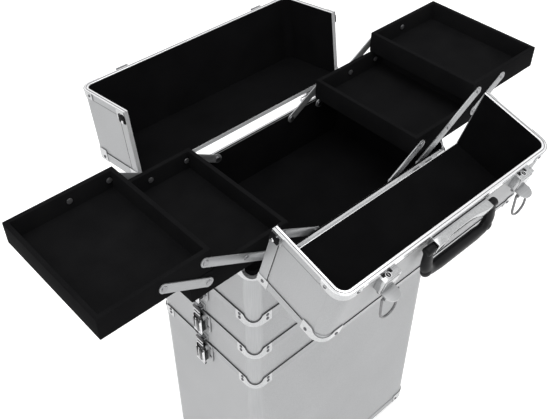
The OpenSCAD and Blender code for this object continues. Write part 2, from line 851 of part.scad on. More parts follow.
module lock_lever(x) {
    straight = lever_l - lever_w / 2;
    color("silver") at_lever(x) difference() {
        union() {
            pin_x(lever_w, lever_barrel_r);
            translate([0, 0, lever_barrel_r - lever_t]) linear_extrude(lever_t) {
                translate([-lever_w / 2, -straight]) square([lever_w, straight]);
                translate([0, -straight]) circle(lever_w / 2);
            }
            translate([0, -bail_at, bail_drop]) pin_x(lever_w, bail_barrel_r);
        }
        pin_x(2 * lever_w, lever_pin_r + run);
        translate([0, -bail_at, bail_drop]) pin_x(2 * lever_w, bail_r + run);
    }
}

// Wire bail that hangs straight down from the lever's barrel
module lock_bail(x) {
    straight = bail_l - bail_half;
    swing = lever_lift - handle_hang;
    color("silver") at_lever(x) translate([0, -bail_at, bail_drop]) rotate([swing, 0, 0]) {
        pin_x(2 * bail_half, bail_r);
        for (s = [-1, 1]) translate([s * bail_half, 0, 0]) {
            sphere(bail_r);
            translate([0, -straight / 2, 0]) pin_y(straight, bail_r);
        }
        translate([0, -straight, 0]) rotate(180) rotate_extrude(angle = 180)
            translate([bail_half, 0]) circle(bail_r);
    }
}

module left_lock_lever() { lock_lever(lock_places[0]); }
module right_lock_lever() { lock_lever(lock_places[1]); }
module left_lock_bail() { lock_bail(lock_places[0]); }
module right_lock_bail() { lock_bail(lock_places[1]); }

// Foot on the panel with a lip that a bail hooks behind
module lid_lock_catches() {
    foot = 10;
    tongue = 7;
    color("gainsboro") on_rear_lid() for (x = lock_places) translate([-x, lock_y1, lock_z]) {
        block([-foot, -14, 0], [foot, 0, 1.5]);
        block([-tongue, -5, 0], [tongue, -3, 5]);
        block([-tongue, -9, 3.5], [tongue, -3, 5]);
    }
}

// Trays and arms, drawn on the right

// Tray as four walls and a floor, with a hole in both sides at each pivot
module tray(x0, z0, pivots) {
    half = tray_w / 2;
    x1 = x0 + tray_l;
    z1 = z0 + tray_h;
    for (x = [x0, x1 - tray_wall]) block([x, -half, z0], [x + tray_wall, half, z1]);
    difference() {
        for (s = [0, 1]) mirror([0, s, 0])
            block([x0 + tray_wall + seam, half - tray_wall, z0], [x1 - tray_wall - seam, half, z1]);
        for (x = pivots) translate([x, 0, z1 - pivot_drop]) pin_y(2 * case_w, rivet_r + run);
    }
    block([x0 + tray_wall + seam, -half + tray_wall + seam, z0],
          [x1 - tray_wall - seam, half - tray_wall - seam, z0 + tray_floor]);
}

module lower_tray() {
    tray(lower_x, lower_z, [short_on_lower, long_on_lower, tray_arm_on_lower]);
}

module upper_tray() {
    tray(upper_x, upper_z, [long_on_upper, tray_arm_on_upper]);
}

module left_lower_tray() { color("black") mirror([1, 0, 0]) lower_tray(); }
module right_lower_tray() { color("black") lower_tray(); }
module left_upper_tray() { color("black") mirror([1, 0, 0]) upper_tray(); }
module right_upper_tray() { color("black") upper_tray(); }

// Flat strip with round ends between two pivots, in the rear gap beside the trays
module strip(from, to) {
    run_x = to[0] - from[0];
    run_z = to[1] - from[1];
    along_y(arm_y, arm_y + arm_t) {
        translate(from) rotate(atan2(run_z, run_x)) translate([0, -arm_w / 2])
            square([norm([run_x, run_z]), arm_w]);
        for (p = [from, to]) translate(p) circle(arm_end_r);
    }
}

// Rivet that turns in a tray's side wall, headed inside the tray and outside the arm
module tray_rivet(p) {
    inside = tray_w / 2 - tray_wall - run;
    along_y(inside - rivet_head_t, arm_y + arm_t) translate(p) circle(rivet_r);
    along_y(inside - rivet_head_t, inside) translate(p) circle(rivet_cap_r);
    along_y(arm_y + arm_t, arm_y + arm_t + rivet_head_t) translate(p) circle(rivet_cap_r);
}

// Hole for a stud of the top section
module stud_hole(p) {
    along_y(arm_y - past, arm_y + arm_t + past) translate(p) circle(rivet_r + run);
}

module front_and_rear() {
    children();
    mirror([0, 1, 0]) children();
}

module long_arms() {
    body = [long_on_body, pivot_z_body];
    lower = [long_on_lower, pivot_z_lower];
    upper = [long_on_upper, pivot_z_upper];
    front_and_rear() {
        difference() {
            strip(body, upper);
            stud_hole(body);
        }
        tray_rivet(lower);
        tray_rivet(upper);
    }
}

module body_arms() {
    body = [short_on_body, pivot_z_body];
    lower = [short_on_lower, pivot_z_lower];
    front_and_rear() {
        difference() {
            strip(body, lower);
            stud_hole(body);
        }
        tray_rivet(lower);
    }
}

module tray_arms() {
    lower = [tray_arm_on_lower, pivot_z_lower];
    upper = [tray_arm_on_upper, pivot_z_upper];
    front_and_rear() {
        strip(lower, upper);
        tray_rivet(lower);
        tray_rivet(upper);
    }
}

module left_long_arms() { color("lightsteelblue") mirror([1, 0, 0]) long_arms(); }
module right_long_arms() { color("lightsteelblue") long_arms(); }
module left_body_arms() { color("lightsteelblue") mirror([1, 0, 0]) body_arms(); }
module right_body_arms() { color("lightsteelblue") body_arms(); }
module left_tray_arms() { color("lightsteelblue") mirror([1, 0, 0]) tray_arms(); }
module right_tray_arms() { color("lightsteelblue") tray_arms(); }

// Studs on the top section's lining that the long arms and the body arms turn on
module arm_studs() {
    wall = half_w - inner_t;
    head = arm_y - run;
    both_ends() front_and_rear() for (x = [long_on_body, short_on_body]) {
        along_y(head - rivet_head_t, wall) translate([x, pivot_z_body]) circle(rivet_r);
        along_y(head - rivet_head_t, head) translate([x, pivot_z_body]) circle(rivet_cap_r);
        along_y(arm_y + arm_t + arm_gap / 2, wall) translate([x, pivot_z_body]) circle(rivet_cap_r);
    }
}

module pivot_pins() {
    color("gray") {
        hinge_pins();
        arm_studs();
    }
}

// Wheels and feet

module wheel_housings() {
    wall = housing_wall;
    color("dimgray") both_ends() difference() {
        block([wheel_x - well_w / 2 + seam, half_w - well_d + seam, z_bin],
              [wheel_x + well_w / 2 - seam, half_w, well_top - seam]);
        block([wheel_x - well_w / 2 + seam + wall, half_w - well_d + seam + wall, z_bin - past],
              [wheel_x + well_w / 2 - seam - wall, half_w + past, well_top - seam - wall]);
        translate([wheel_x, wheel_y, wheel_r]) pin_x(2 * well_w, axle_r + fit);
    }
}

module wheel_axles() {
    color("silver") both_ends() translate([wheel_x, wheel_y, wheel_r]) pin_x(well_w - 2 * seam, axle_r);
}

// Tyre with rounded shoulders on a hub
module wheel() {
    shoulder = 3;
    half = wheel_w / 2;
    hub_r = wheel_r - tyre_t;
    translate([wheel_x, wheel_y, wheel_r]) rotate([0, 90, 0]) {
        rotate_extrude() {
            translate([hub_r, -half]) square([tyre_t - shoulder, wheel_w]);
            translate([hub_r, -half + shoulder]) square([tyre_t, wheel_w - 2 * shoulder]);
            for (s = [-1, 1]) translate([wheel_r - shoulder, s * (half - shoulder)]) circle(shoulder);
        }
        difference() {
            cylinder(h = wheel_w - 2, r = hub_r - seam, center = true);
            cylinder(h = 2 * wheel_w, r = axle_r + run, center = true);
            for (s = [-1, 1]) translate([0, 0, s * half]) rotate_extrude()
                translate([axle_r + 3, -3]) square([hub_r - axle_r - 6, 6]);
        }
    }
}

module left_wheel() { color("dimgray") mirror([1, 0, 0]) wheel(); }
module right_wheel() { color("dimgray") wheel(); }

module front_feet() {
    color("dimgray") both_ends() translate([foot_x, foot_in - half_w, 0]) {
        cylinder(h = z_bin - fit, r = foot_r - 2);
        translate([0, 0, 3]) cylinder(h = z_bin - fit - 3, r = foot_r);
    }
}

// Pull handle on the rear of the bin

module pull_handle_guides() {
    color("silver") both_ends() translate([pull_x, 0, 0]) difference() {
        union() {
            translate([0, pull_y, guide_z0]) cylinder(h = guide_z1 - guide_z0, r = guide_r);
            for (z = [guide_z0, guide_z1 - clamp_h])
                block([-guide_r - 5, half_w + fit, z], [guide_r + 5, pull_y, z + clamp_h]);
        }
        translate([0, pull_y, guide_z0 + 3]) cylinder(h = guide_z1 - guide_z0, r = guide_r - guide_wall);
    }
}

module pull_handle_tubes() {
    bottom = guide_z0 + 3.5;
    color("gainsboro") both_ends() translate([pull_x, pull_y, bottom]) difference() {
        cylinder(h = pull_grip_z - bottom, r = tube_r);
        translate([0, 0, -past]) cylinder(h = pull_grip_z - bottom - 20, r = tube_r - tube_wall);
    }
}

module pull_handle_grip() {
    color("dimgray") translate([0, pull_y, pull_grip_z]) difference() {
        union() {
            pin_x(pull_grip_l, pull_grip_r);
            for (s = [-1, 1]) {
                translate([s * pull_grip_l / 2, 0, 0]) sphere(pull_grip_r);
                translate([s * pull_x, 0, -pull_grip_r - 10]) cylinder(h = 14, r = tube_r + 2);
            }
        }
        for (s = [-1, 1]) translate([s * pull_x, 0, -3 * pull_grip_r])
            cylinder(h = 3 * pull_grip_r + fit, r = tube_r + fit);
        button_block(pull_grip_r - pocket_d, 2 * pull_grip_r, run);
    }
}

// Block in the middle of the grip between two heights, grown sideways by g
module button_block(z0, z1, g) {
    block([-button_l / 2 - g, -button_w / 2 - g, z0], [button_l / 2 + g, button_w / 2 + g, z1]);
}

module pull_handle_button() {
    color("gray") translate([0, pull_y, pull_grip_z])
        button_block(pull_grip_r - pocket_d + button_travel + 0.5, pull_grip_r + button_up, 0);
}

// Levers and claws of the end latches, numbered from the bottom joint up

module left_latch_lever_1() { color("silver") mirror([1, 0, 0]) latch_lever(z_joint_1); }
module left_latch_lever_2() { color("silver") mirror([1, 0, 0]) latch_lever(z_joint_2); }
module left_latch_lever_3() { color("silver") mirror([1, 0, 0]) latch_lever(z_joint_3); }
module right_latch_lever_1() { color("silver") latch_lever(z_joint_1); }
module right_latch_lever_2() { color("silver") latch_lever(z_joint_2); }
module right_latch_lever_3() { color("silver") latch_lever(z_joint_3); }
module left_latch_claw_1() { color("silver") mirror([1, 0, 0]) latch_claw(z_joint_1); }
module left_latch_claw_2() { color("silver") mirror([1, 0, 0]) latch_claw(z_joint_2); }
module left_latch_claw_3() { color("silver") mirror([1, 0, 0]) latch_claw(z_joint_3); }
module right_latch_claw_1() { color("silver") latch_claw(z_joint_1); }
module right_latch_claw_2() { color("silver") latch_claw(z_joint_2); }
module right_latch_claw_3() { color("silver") latch_claw(z_joint_3); }

bin_panels();
lower_section_panels();
upper_section_panels();
top_panels();
corner_posts();
edge_profiles();
corner_brackets();
case_linings();
end_latch_plates();
body_hinge_leaves();
pivot_pins();
wheel_housings();
wheel_axles();
front_feet();
pull_handle_guides();
front_lid_panels();
front_lid_profiles();
front_lid_corners();
front_lid_lining();
front_lid_hinge_leaves();
carry_handle_plate();
lid_lock_bases();
rear_lid_panels();
rear_lid_profiles();
rear_lid_corners();
rear_lid_lining();
rear_lid_hinge_leaves();
lid_lock_catches();
left_lower_tray();
right_lower_tray();
left_upper_tray();
right_upper_tray();
left_long_arms();
right_long_arms();
left_body_arms();
right_body_arms();
left_tray_arms();
right_tray_arms();
carry_handle_grip();
left_lock_lever();
right_lock_lever();
left_lock_bail();
right_lock_bail();
left_latch_lever_1();
left_latch_lever_2();
left_latch_lever_3();
right_latch_lever_1();
right_latch_lever_2();
right_latch_lever_3();
left_latch_claw_1();
left_latch_claw_2();
left_latch_claw_3();
right_latch_claw_1();
right_latch_claw_2();
right_latch_claw_3();
left_wheel();
right_wheel();
pull_handle_tubes();
pull_handle_grip();
pull_handle_button();
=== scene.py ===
"""Looks of an open rolling makeup case: finishes, dressed fittings, studio and camera."""

import logging
import math
from collections.abc import Callable, Iterator, Mapping, Sequence
from contextlib import contextmanager
from dataclasses import dataclass
from enum import Enum
from typing import ClassVar

import bpy
from mathutils import Matrix, Vector


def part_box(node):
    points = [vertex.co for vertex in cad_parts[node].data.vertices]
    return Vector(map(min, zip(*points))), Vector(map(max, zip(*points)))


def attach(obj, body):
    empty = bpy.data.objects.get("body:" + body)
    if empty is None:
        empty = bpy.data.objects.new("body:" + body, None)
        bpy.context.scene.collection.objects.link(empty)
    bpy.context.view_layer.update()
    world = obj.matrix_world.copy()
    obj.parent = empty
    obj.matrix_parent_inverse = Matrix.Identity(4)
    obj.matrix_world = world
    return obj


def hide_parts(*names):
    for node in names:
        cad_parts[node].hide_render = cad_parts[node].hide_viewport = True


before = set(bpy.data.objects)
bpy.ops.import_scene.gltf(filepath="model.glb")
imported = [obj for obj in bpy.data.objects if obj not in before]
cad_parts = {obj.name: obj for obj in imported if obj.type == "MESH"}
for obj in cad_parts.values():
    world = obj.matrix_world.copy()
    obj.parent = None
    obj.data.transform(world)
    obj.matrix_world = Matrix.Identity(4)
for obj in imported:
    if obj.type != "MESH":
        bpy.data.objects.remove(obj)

log = logging.getLogger("makeup_case")

Colour = tuple[float, float, float]
FaceTest = Callable[[Vector, Vector], bool]
Knot = tuple[Vector, float]
Place = tuple[Vector, Vector]
SIGNS = (-1.0, 1.0)
AXIS_X = (1.0, 0.0, 0.0)
AXIS_Y = (0.0, 1.0, 0.0)
AXIS_Z = (0.0, 0.0, 1.0)


class Side(Enum):
    """The ends of the case, with the sign of X at each."""

    LEFT = -1.0
    RIGHT = 1.0

    @property
    def word(self) -> str:
        """The side's name as the CAD nodes spell it."""
        return self.name.lower()


class Lid(Enum):
    """The half lids, with the CAD body of each."""

    FRONT = "front_lid"
    REAR = "rear_lid"


class Edge(Enum):
    """How an edge is rounded: the number of faces across it."""

    CRISP = 1
    EASED = 2
    ROUND = 3


class Wire:
    """A node output that works in sums: each operator adds one Math node to its board."""

    def __init__(self, board: "Board", socket: bpy.types.NodeSocket) -> None:
        """Keeps the board and the output socket."""
        self.board = board
        self.socket = socket

    def __add__(self, other: "Wire | float") -> "Wire":
        """This value plus another."""
        return self.board.math("ADD", self, other)

    def __radd__(self, other: float) -> "Wire":
        """A number plus this value."""
        return self.board.math("ADD", other, self)

    def __sub__(self, other: "Wire | float") -> "Wire":
        """This value less another."""
        return self.board.math("SUBTRACT", self, other)

    def __rsub__(self, other: float) -> "Wire":
        """A number less this value."""
        return self.board.math("SUBTRACT", other, self)

    def __mul__(self, other: "Wire | float") -> "Wire":
        """This value times another."""
        return self.board.math("MULTIPLY", self, other)

    def __rmul__(self, other: float) -> "Wire":
        """A number times this value."""
        return self.board.math("MULTIPLY", other, self)

    def clamped(self) -> "Wire":
        """This value held between 0 and 1."""
        return self.board.math("MAXIMUM", self.board.math("MINIMUM", self, 1.0), 0.0)


Feed = Wire | bpy.types.NodeSocket | float | Sequence[float]


class Board:
    """The node tree of one material or of the world."""

    COLOUR_INPUTS: ClassVar[tuple[int, int, int]] = (0, 6, 7)
    COLOUR_OUTPUT: ClassVar[int] = 2

    def __init__(self, tree: bpy.types.NodeTree) -> None:
        """Empties the tree so that only this board's nodes are in it."""
        self.tree = tree
        tree.nodes.clear()

    def node(
        self,
        kind: str,
        settings: Mapping[str, object] | None = None,
        sockets: Mapping[str | int, Feed] | None = None,
    ) -> bpy.types.Node:
        """Adds any node.

        Args:
            kind: The node's type name.
            settings: Properties of the node, set before its sockets.
            sockets: What goes into each input, by name or place.

        Returns:
            The new node.
        """
        made = self.tree.nodes.new(kind)
        for key, value in (settings or {}).items():
            setattr(made, key, value)
        for key, feed in (sockets or {}).items():
            self.feed(made.inputs[key], feed)
        return made

    def feed(self, socket: bpy.types.NodeSocket, feed: Feed) -> None:
        """Links an output to an input, or sets the input's own value.

        Args:
            socket: The input.
            feed: What goes into it.
        """
        source = feed.socket if isinstance(feed, Wire) else feed
        if isinstance(source, bpy.types.NodeSocket):
            self.tree.links.new(source, socket)
        elif socket.type == "RGBA":
            socket.default_value = (*source, 1.0)
        else:
            socket.default_value = source

    def math(self, operation: str, *feeds: Feed) -> Wire:
        """Adds a Math node."""
        made = self.node("ShaderNodeMath", {"operation": operation}, dict(enumerate(feeds)))
        return Wire(self, made.outputs[0])

    def vector(self, operation: str, *feeds: Feed) -> Wire:
        """Adds a Vector Math node."""
        made = self.node("ShaderNodeVectorMath", {"operation": operation}, dict(enumerate(feeds)))
        return Wire(self, made.outputs[0])

    def blend(self, factor: Feed, low: Feed, high: Feed) -> Wire:
        """Mixes two colours.

        Args:
            factor: Share of the second colour.
            low: First colour.
            high: Second colour.

        Returns:
            The mixed colour.
        """
        sockets = dict(zip(self.COLOUR_INPUTS, (factor, low, high)))
        made = self.node("ShaderNodeMix", {"data_type": "RGBA"}, sockets)
        return Wire(self, made.outputs[self.COLOUR_OUTPUT])

    def noise(self, place: Feed, scale: float, detail: float = 2.0) -> Wire:
        """Adds noise at a place, from about 0.25 to 0.75."""
        sockets = {"Vector": place, "Scale": scale, "Detail": detail}
        return Wire(self, self.node("ShaderNodeTexNoise", None, sockets).outputs[0])

    def place(self) -> Wire:
        """The piece's own coordinates, in metres."""
        return Wire(self, self.node("ShaderNodeTexCoord").outputs["Object"])


class Grain(Enum):
    """How a texture is stretched: its scale along X, Y and Z."""

    EVEN = (1.0, 1.0, 1.0)
    ALONG_X = (0.03, 1.0, 1.0)
    ALONG_Y = (1.0, 0.03, 1.0)
    ALONG_Z = (1.0, 1.0, 0.03)


@dataclass(frozen=True)
class Finish:
    """One surface finish, made of fine grain over broad patches.

    Args:
        name: The material's name.
        slot: The slot that the finish belongs to; not used.
        low: Darker colour of the grain.
        high: Lighter colour of the grain.
        metallic: How much of the surface is bare metal.
        roughness: Mean roughness.
        swing: How far the roughness varies.
        grain: Direction of the grain.
        scale: Grains per metre.
        patch: Broad patches per metre.
        bump: Strength of the relief.
        depth: Height of the relief in metres.
        specular: Level of the mirror layer.
    """

    FINE_DETAIL: ClassVar[float] = 3.0
    FINE_SHARE: ClassVar[float] = 1.3
    BROAD_SHARE: ClassVar[float] = 0.9
    TONE_DROP: ClassVar[float] = 0.6
    MID_TONE: ClassVar[float] = 0.5

    name: str
    slot: str
    low: Colour
    high: Colour
    metallic: float = 0.0
    roughness: float = 0.4
    swing: float = 0.1
    grain: Grain = Grain.EVEN
    scale: float = 900.0
    patch: float = 14.0
    bump: float = 0.1
    depth: float = 0.0002
    specular: float = 0.5

    def material(self) -> bpy.types.Material:
        """Makes the material once and gives it back after that.

        Returns:
            The finish's material.
        """
        found = bpy.data.materials.get(self.name)
        if found is not None:
            return found
        made = bpy.data.materials.new(self.name)
        made.use_nodes = True
        made.diffuse_color = (*self.high, 1.0)
        board = Board(made.node_tree)
        place = board.place()
        stretched = board.vector("MULTIPLY", place, self.grain.value)
        fine = board.noise(stretched, self.scale, self.FINE_DETAIL)
        broad = board.noise(place, self.patch)
        tone = (fine * self.FINE_SHARE + broad * self.BROAD_SHARE - self.TONE_DROP).clamped()
        relief = board.node(
            "ShaderNodeBump", None, {"Strength": self.bump, "Distance": self.depth, "Height": fine}
        )
        shader = board.node(
            "ShaderNodeBsdfPrincipled",
            None,
            {
                "Base Color": board.blend(tone, self.low, self.high),
                "Metallic": self.metallic,
                "Roughness": ((tone - self.MID_TONE) * self.swing + self.roughness).clamped(),
                "Specular IOR Level": self.specular,
                "Normal": relief.outputs[0],
            },
        )
        board.node("ShaderNodeOutputMaterial", None, {"Surface": shader.outputs[0]})
        return made


LAMINATE = Finish(
    "silver_laminate", "panel", (0.365, 0.37, 0.378), (0.505, 0.51, 0.518),
    metallic=0.25, roughness=0.44, swing=0.12, scale=700.0, patch=9.0, bump=0.16,
)
SATIN_POST = Finish(
    "satin_anodised", "post", (0.38, 0.385, 0.392), (0.48, 0.485, 0.492),
    metallic=0.6, roughness=0.40, swing=0.12, grain=Grain.ALONG_Z, scale=800.0, bump=0.05,
)
SATIN_TRIM = Finish(
    "satin_trim", "trim", (0.345, 0.35, 0.357), (0.455, 0.46, 0.467),
    metallic=0.5, roughness=0.36, swing=0.14, grain=Grain.ALONG_X, scale=900.0, bump=0.05,
)
# Painted sheen: a paler copy of the trim, put on rim faces picked by the way they face.
PAINTED_SHEEN_TRIM = Finish(
    "painted_sheen_trim", "trim", (0.56, 0.565, 0.572), (0.68, 0.685, 0.692),
    metallic=0.3, roughness=0.34, swing=0.12, grain=Grain.ALONG_X, scale=900.0, bump=0.04,
)
# Painted highlight: a lighter copy of the trim, put on lid rim faces picked by the way they face.
PAINTED_HIGHLIGHT_TRIM = Finish(
    "painted_highlight_trim", "trim", (0.82, 0.82, 0.83), (0.95, 0.95, 0.96),
    metallic=0.9, roughness=0.24, swing=0.12, grain=Grain.ALONG_X, scale=900.0, bump=0.04,
)
POLISHED = Finish(
    "polished_bracket", "bracket", (0.42, 0.425, 0.43), (0.57, 0.575, 0.58),
    metallic=0.92, roughness=0.18, swing=0.12, scale=500.0, bump=0.03,
)
CHROME = Finish(
    "chrome", "hardware", (0.54, 0.54, 0.55), (0.72, 0.72, 0.73),
    metallic=1.0, roughness=0.12, swing=0.10, scale=420.0, patch=30.0, bump=0.03,
)
STRIP = Finish(
    "satin_chrome", "hardware", (0.42, 0.425, 0.43), (0.56, 0.565, 0.57),
    metallic=1.0, roughness=0.16, swing=0.10, scale=420.0, patch=60.0, bump=0.04,
)
DARK_CHROME = Finish(
    "dark_chrome", "hardware", (0.10, 0.10, 0.11), (0.22, 0.22, 0.23),
    metallic=1.0, roughness=0.22, swing=0.14, scale=420.0, patch=40.0, bump=0.04,
)
INK = Finish(
    "dark_gloss", "hardware", (0.012, 0.012, 0.013), (0.034, 0.034, 0.036),
    metallic=0.7, roughness=0.24, swing=0.14, scale=420.0, patch=60.0, bump=0.04, specular=0.3,
)
WIRE = Finish(
    "steel_wire", "hardware", (0.13, 0.13, 0.135), (0.24, 0.24, 0.245),
    metallic=0.9, roughness=0.26, swing=0.14, scale=600.0, patch=80.0, bump=0.04,
)
GREY_STEEL = Finish(
    "grey_steel", "hardware", (0.24, 0.24, 0.25), (0.36, 0.36, 0.37),
    metallic=0.8, roughness=0.34, swing=0.14, scale=600.0, patch=40.0, bump=0.05,
)
TURNED = Finish(
    "turned_steel", "pin", (0.42, 0.42, 0.44), (0.60, 0.60, 0.62),
    metallic=1.0, roughness=0.28, swing=0.16, grain=Grain.ALONG_Y, scale=1400.0, bump=0.06,
)
BRUSHED = Finish(
    "brushed_steel", "arm", (0.30, 0.305, 0.312), (0.43, 0.435, 0.442),
    metallic=0.6, roughness=0.36, swing=0.2, grain=Grain.ALONG_X, scale=1600.0, bump=0.08,
)
# Painted shade: chrome rivet domes darkened to show their shading.
PAINTED_SHADE_RIVET = Finish(
    "painted_shade_rivet", "pin", (0.07, 0.07, 0.075), (0.17, 0.17, 0.18),
    metallic=0.9, roughness=0.32, swing=0.2, scale=900.0, patch=60.0, bump=0.05,
)
VELVET = Finish(
    "black_velvet", "lining", (0.0030, 0.0030, 0.0033), (0.0085, 0.0085, 0.009),
    roughness=0.92, swing=0.08, scale=1500.0, patch=22.0, bump=0.35, depth=0.0004, specular=0.02,
)
FLOCK = Finish(
    "black_flock", "tray", (0.0045, 0.0045, 0.005), (0.0115, 0.0115, 0.012),
    roughness=0.88, swing=0.1, scale=1300.0, patch=26.0, bump=0.3, depth=0.0004, specular=0.025,
)
BLACK = Finish(
    "satin_black", "black_plastic", (0.004, 0.004, 0.0045), (0.010, 0.010, 0.011),
    roughness=0.36, swing=0.14, scale=1100.0, patch=24.0, bump=0.08, specular=0.13,
)
DULL_BLACK = Finish(
    "dull_black", "black_plastic", (0.004, 0.004, 0.0045), (0.012, 0.012, 0.013),
    roughness=0.6, swing=0.14, scale=900.0, patch=24.0, bump=0.08, specular=0.04,
)
# Painted shadow: a near-black for the shade in gaps and grooves, on cords laid along them.
SHADOW = Finish(
    "painted_shadow_black", "lining", (0.02, 0.02, 0.021), (0.05, 0.05, 0.052),
    roughness=0.7, swing=0.2, scale=700.0, patch=30.0, specular=0.1,
)
# Painted shade: a grey for the lighter shade in the split and rim grooves.
GROOVE_SHADE = Finish(
    "painted_groove_shade", "trim", (0.16, 0.16, 0.165), (0.26, 0.26, 0.265),
    metallic=0.3, roughness=0.5, swing=0.2, scale=700.0, patch=30.0, specular=0.2,
)
RUBBER = Finish(
    "matt_rubber", "rubber", (0.016, 0.016, 0.016), (0.034, 0.034, 0.034),
    roughness=0.78, swing=0.16, scale=800.0, patch=40.0, bump=0.2,
)
TYRE = Finish(
    "tyre_rubber", "wheel", (0.018, 0.018, 0.019), (0.036, 0.036, 0.038),
    roughness=0.7, swing=0.2, scale=700.0, patch=50.0, bump=0.2,
)
HUB = Finish(
    "hub_plastic", "wheel", (0.05, 0.05, 0.052), (0.085, 0.085, 0.088),
    roughness=0.42, swing=0.14, scale=900.0, patch=50.0, bump=0.06,
)
BUTTON = Finish(
    "grey_button", "button", (0.18, 0.18, 0.185), (0.25, 0.25, 0.26),
    roughness=0.44, swing=0.12, scale=900.0, patch=80.0, bump=0.06,
)


class Bench:
    """Modelling operators that start from a clean selection, in metres and degrees."""

    RING_SIDES: ClassVar[tuple[int, int]] = (32, 10)
    DOME_SIDES: ClassVar[tuple[int, int]] = (18, 10)
    BALL_SIDES: ClassVar[tuple[int, int]] = (28, 16)
    CORD_ROUNDING: ClassVar[int] = 2
    MERGE: ClassVar[float] = 2e-6
    FLAT: ClassVar[float] = 1.0
    FACING: ClassVar[float] = 0.9
    BEVEL_FROM: ClassVar[float] = 32.0
    DOME_SMOOTH: ClassVar[float] = 40.0
    ROUND_SMOOTH: ClassVar[float] = 60.0

    @staticmethod
    def clear() -> None:
        """Leaves edit mode and selects nothing."""
        if bpy.context.mode != "OBJECT":
            bpy.ops.object.mode_set(mode="OBJECT")
        bpy.ops.object.select_all(action="DESELECT")

    @classmethod
    def only(cls, obj: bpy.types.Object) -> None:
        """Makes one object the selected and active one.

        Args:
            obj: The object.
        """
        cls.clear()
        obj.select_set(True)
        bpy.context.view_layer.objects.active = obj

    @staticmethod
    def linked(name: str, data: bpy.types.ID) -> bpy.types.Object:
        """A new object in the scene.

        Args:
            name: Its name.
            data: Its mesh, curve, lamp or camera.

        Returns:
            The object.
        """
        made = bpy.data.objects.new(name, data)
        bpy.context.scene.collection.objects.link(made)
        return made

    @staticmethod
    def aim(obj: bpy.types.Object, place: Vector, target: Vector) -> None:
        """Puts a lamp or camera at a place and turns it to a target."""
        obj.location = place
        obj.rotation_euler = (target - place).to_track_quat("-Z", "Y").to_euler()

    @staticmethod
    def stand(foot: Vector, out: Vector) -> Matrix:
        """The move that stands a piece on a point, with its Z axis pointing out."""
        return Matrix.Translation(foot) @ out.to_track_quat("Z", "Y").to_matrix().to_4x4()

    @classmethod
    def settle(cls, obj: bpy.types.Object, name: str) -> bpy.types.Object:
        """Names an object and moves its place, turn and scale into its mesh.

        Args:
            obj: The object.
            name: Name for it and for its mesh.

        Returns:
            The same object, at the origin.
        """
        cls.only(obj)
        bpy.ops.object.transform_apply(location=True, rotation=True, scale=True)
        obj.name = name
        obj.data.name = name
        return obj

    @classmethod
    @contextmanager
    def editing(cls, obj: bpy.types.Object, test: FaceTest | None = None) -> Iterator[None]:
        """Opens a mesh in edit mode, and closes it again.

        Args:
            obj: The object.
            test: Picks faces by centre and normal; without it everything is selected.

        Yields:
            Nothing, while the mesh is open.
        """
        cls.only(obj)
        mesh = obj.data
        if test is not None:
            chosen = [test(face.center, face.normal) for face in mesh.polygons]
            mesh.vertices.foreach_set("select", [False] * len(mesh.vertices))
            mesh.edges.foreach_set("select", [False] * len(mesh.edges))
            mesh.polygons.foreach_set("select", chosen)
        bpy.context.tool_settings.mesh_select_mode = (False, False, True)
        bpy.ops.object.mode_set(mode="EDIT")
        if test is None:
            bpy.ops.mesh.select_all(action="SELECT")
        yield
        bpy.ops.object.mode_set(mode="OBJECT")

    @classmethod
    def facing(cls, axis: Sequence[float]) -> FaceTest:
        """A test for the faces that look along an axis."""
        way = Vector(axis)
        return lambda centre, normal: normal.dot(way) > cls.FACING

    @staticmethod
    def extrude(step: Sequence[float]) -> None:
        """Draws the selection on by a step."""
        bpy.ops.mesh.extrude_region_move(TRANSFORM_OT_translate={"value": step})

    @classmethod
    def cut(cls, obj: bpy.types.Object, place: Sequence[float], normal: Sequence[float]) -> None:
        """Splits the faces of a mesh along a plane."""
        with cls.editing(obj):
            bpy.ops.mesh.bisect(plane_co=place, plane_no=normal)

    @classmethod
    def block(cls, name: str, low: Sequence[float], high: Sequence[float]) -> bpy.types.Object:
        """A box between two corners.

        Args:
            name: Its name.
            low: The corner with the least X, Y and Z.
            high: The corner across from it.

        Returns:
            The box.
        """
        cls.clear()
        low, high = Vector(low), Vector(high)
        bpy.ops.mesh.primitive_cube_add(size=1.0, location=(low + high) / 2)
        made = bpy.context.object
        made.scale = high - low
        return cls.settle(made, name)

    @classmethod
    def rod(
        cls, name: str, start: Sequence[float], end: Sequence[float], radius: float, sides: int = 28
    ) -> bpy.types.Object:
        """A round bar from one point to another.

        Args:
            name: Its name.
            start: Middle of one end.
            end: Middle of the other end.
            radius: Its radius.
            sides: Faces round it.

        Returns:
            The bar.
        """
        cls.clear()
        start, end = Vector(start), Vector(end)
        way = end - start
        bpy.ops.mesh.primitive_cylinder_add(
            vertices=sides,
            radius=radius,
            depth=way.length,
            location=(start + end) / 2,
            rotation=way.to_track_quat("Z", "Y").to_euler(),
        )
        return cls.settle(bpy.context.object, name)

    @classmethod
    def ring(
        cls, name: str, centre: Sequence[float], axis: Sequence[float], radius: float, thick: float
    ) -> bpy.types.Object:
        """A round wire ring.

        Args:
            name: Its name.
            centre: Its middle.
            axis: The line that it runs round.
            radius: From the middle to the wire's middle.
            thick: Radius of the wire.

        Returns:
            The ring.
        """
        cls.clear()
        around, across = cls.RING_SIDES
        bpy.ops.mesh.primitive_torus_add(
            major_segments=around,
            minor_segments=across,
            major_radius=radius,
            minor_radius=thick,
            location=Vector(centre),
            rotation=Vector(axis).to_track_quat("Z", "Y").to_euler(),
        )
        return cls.settle(bpy.context.object, name)

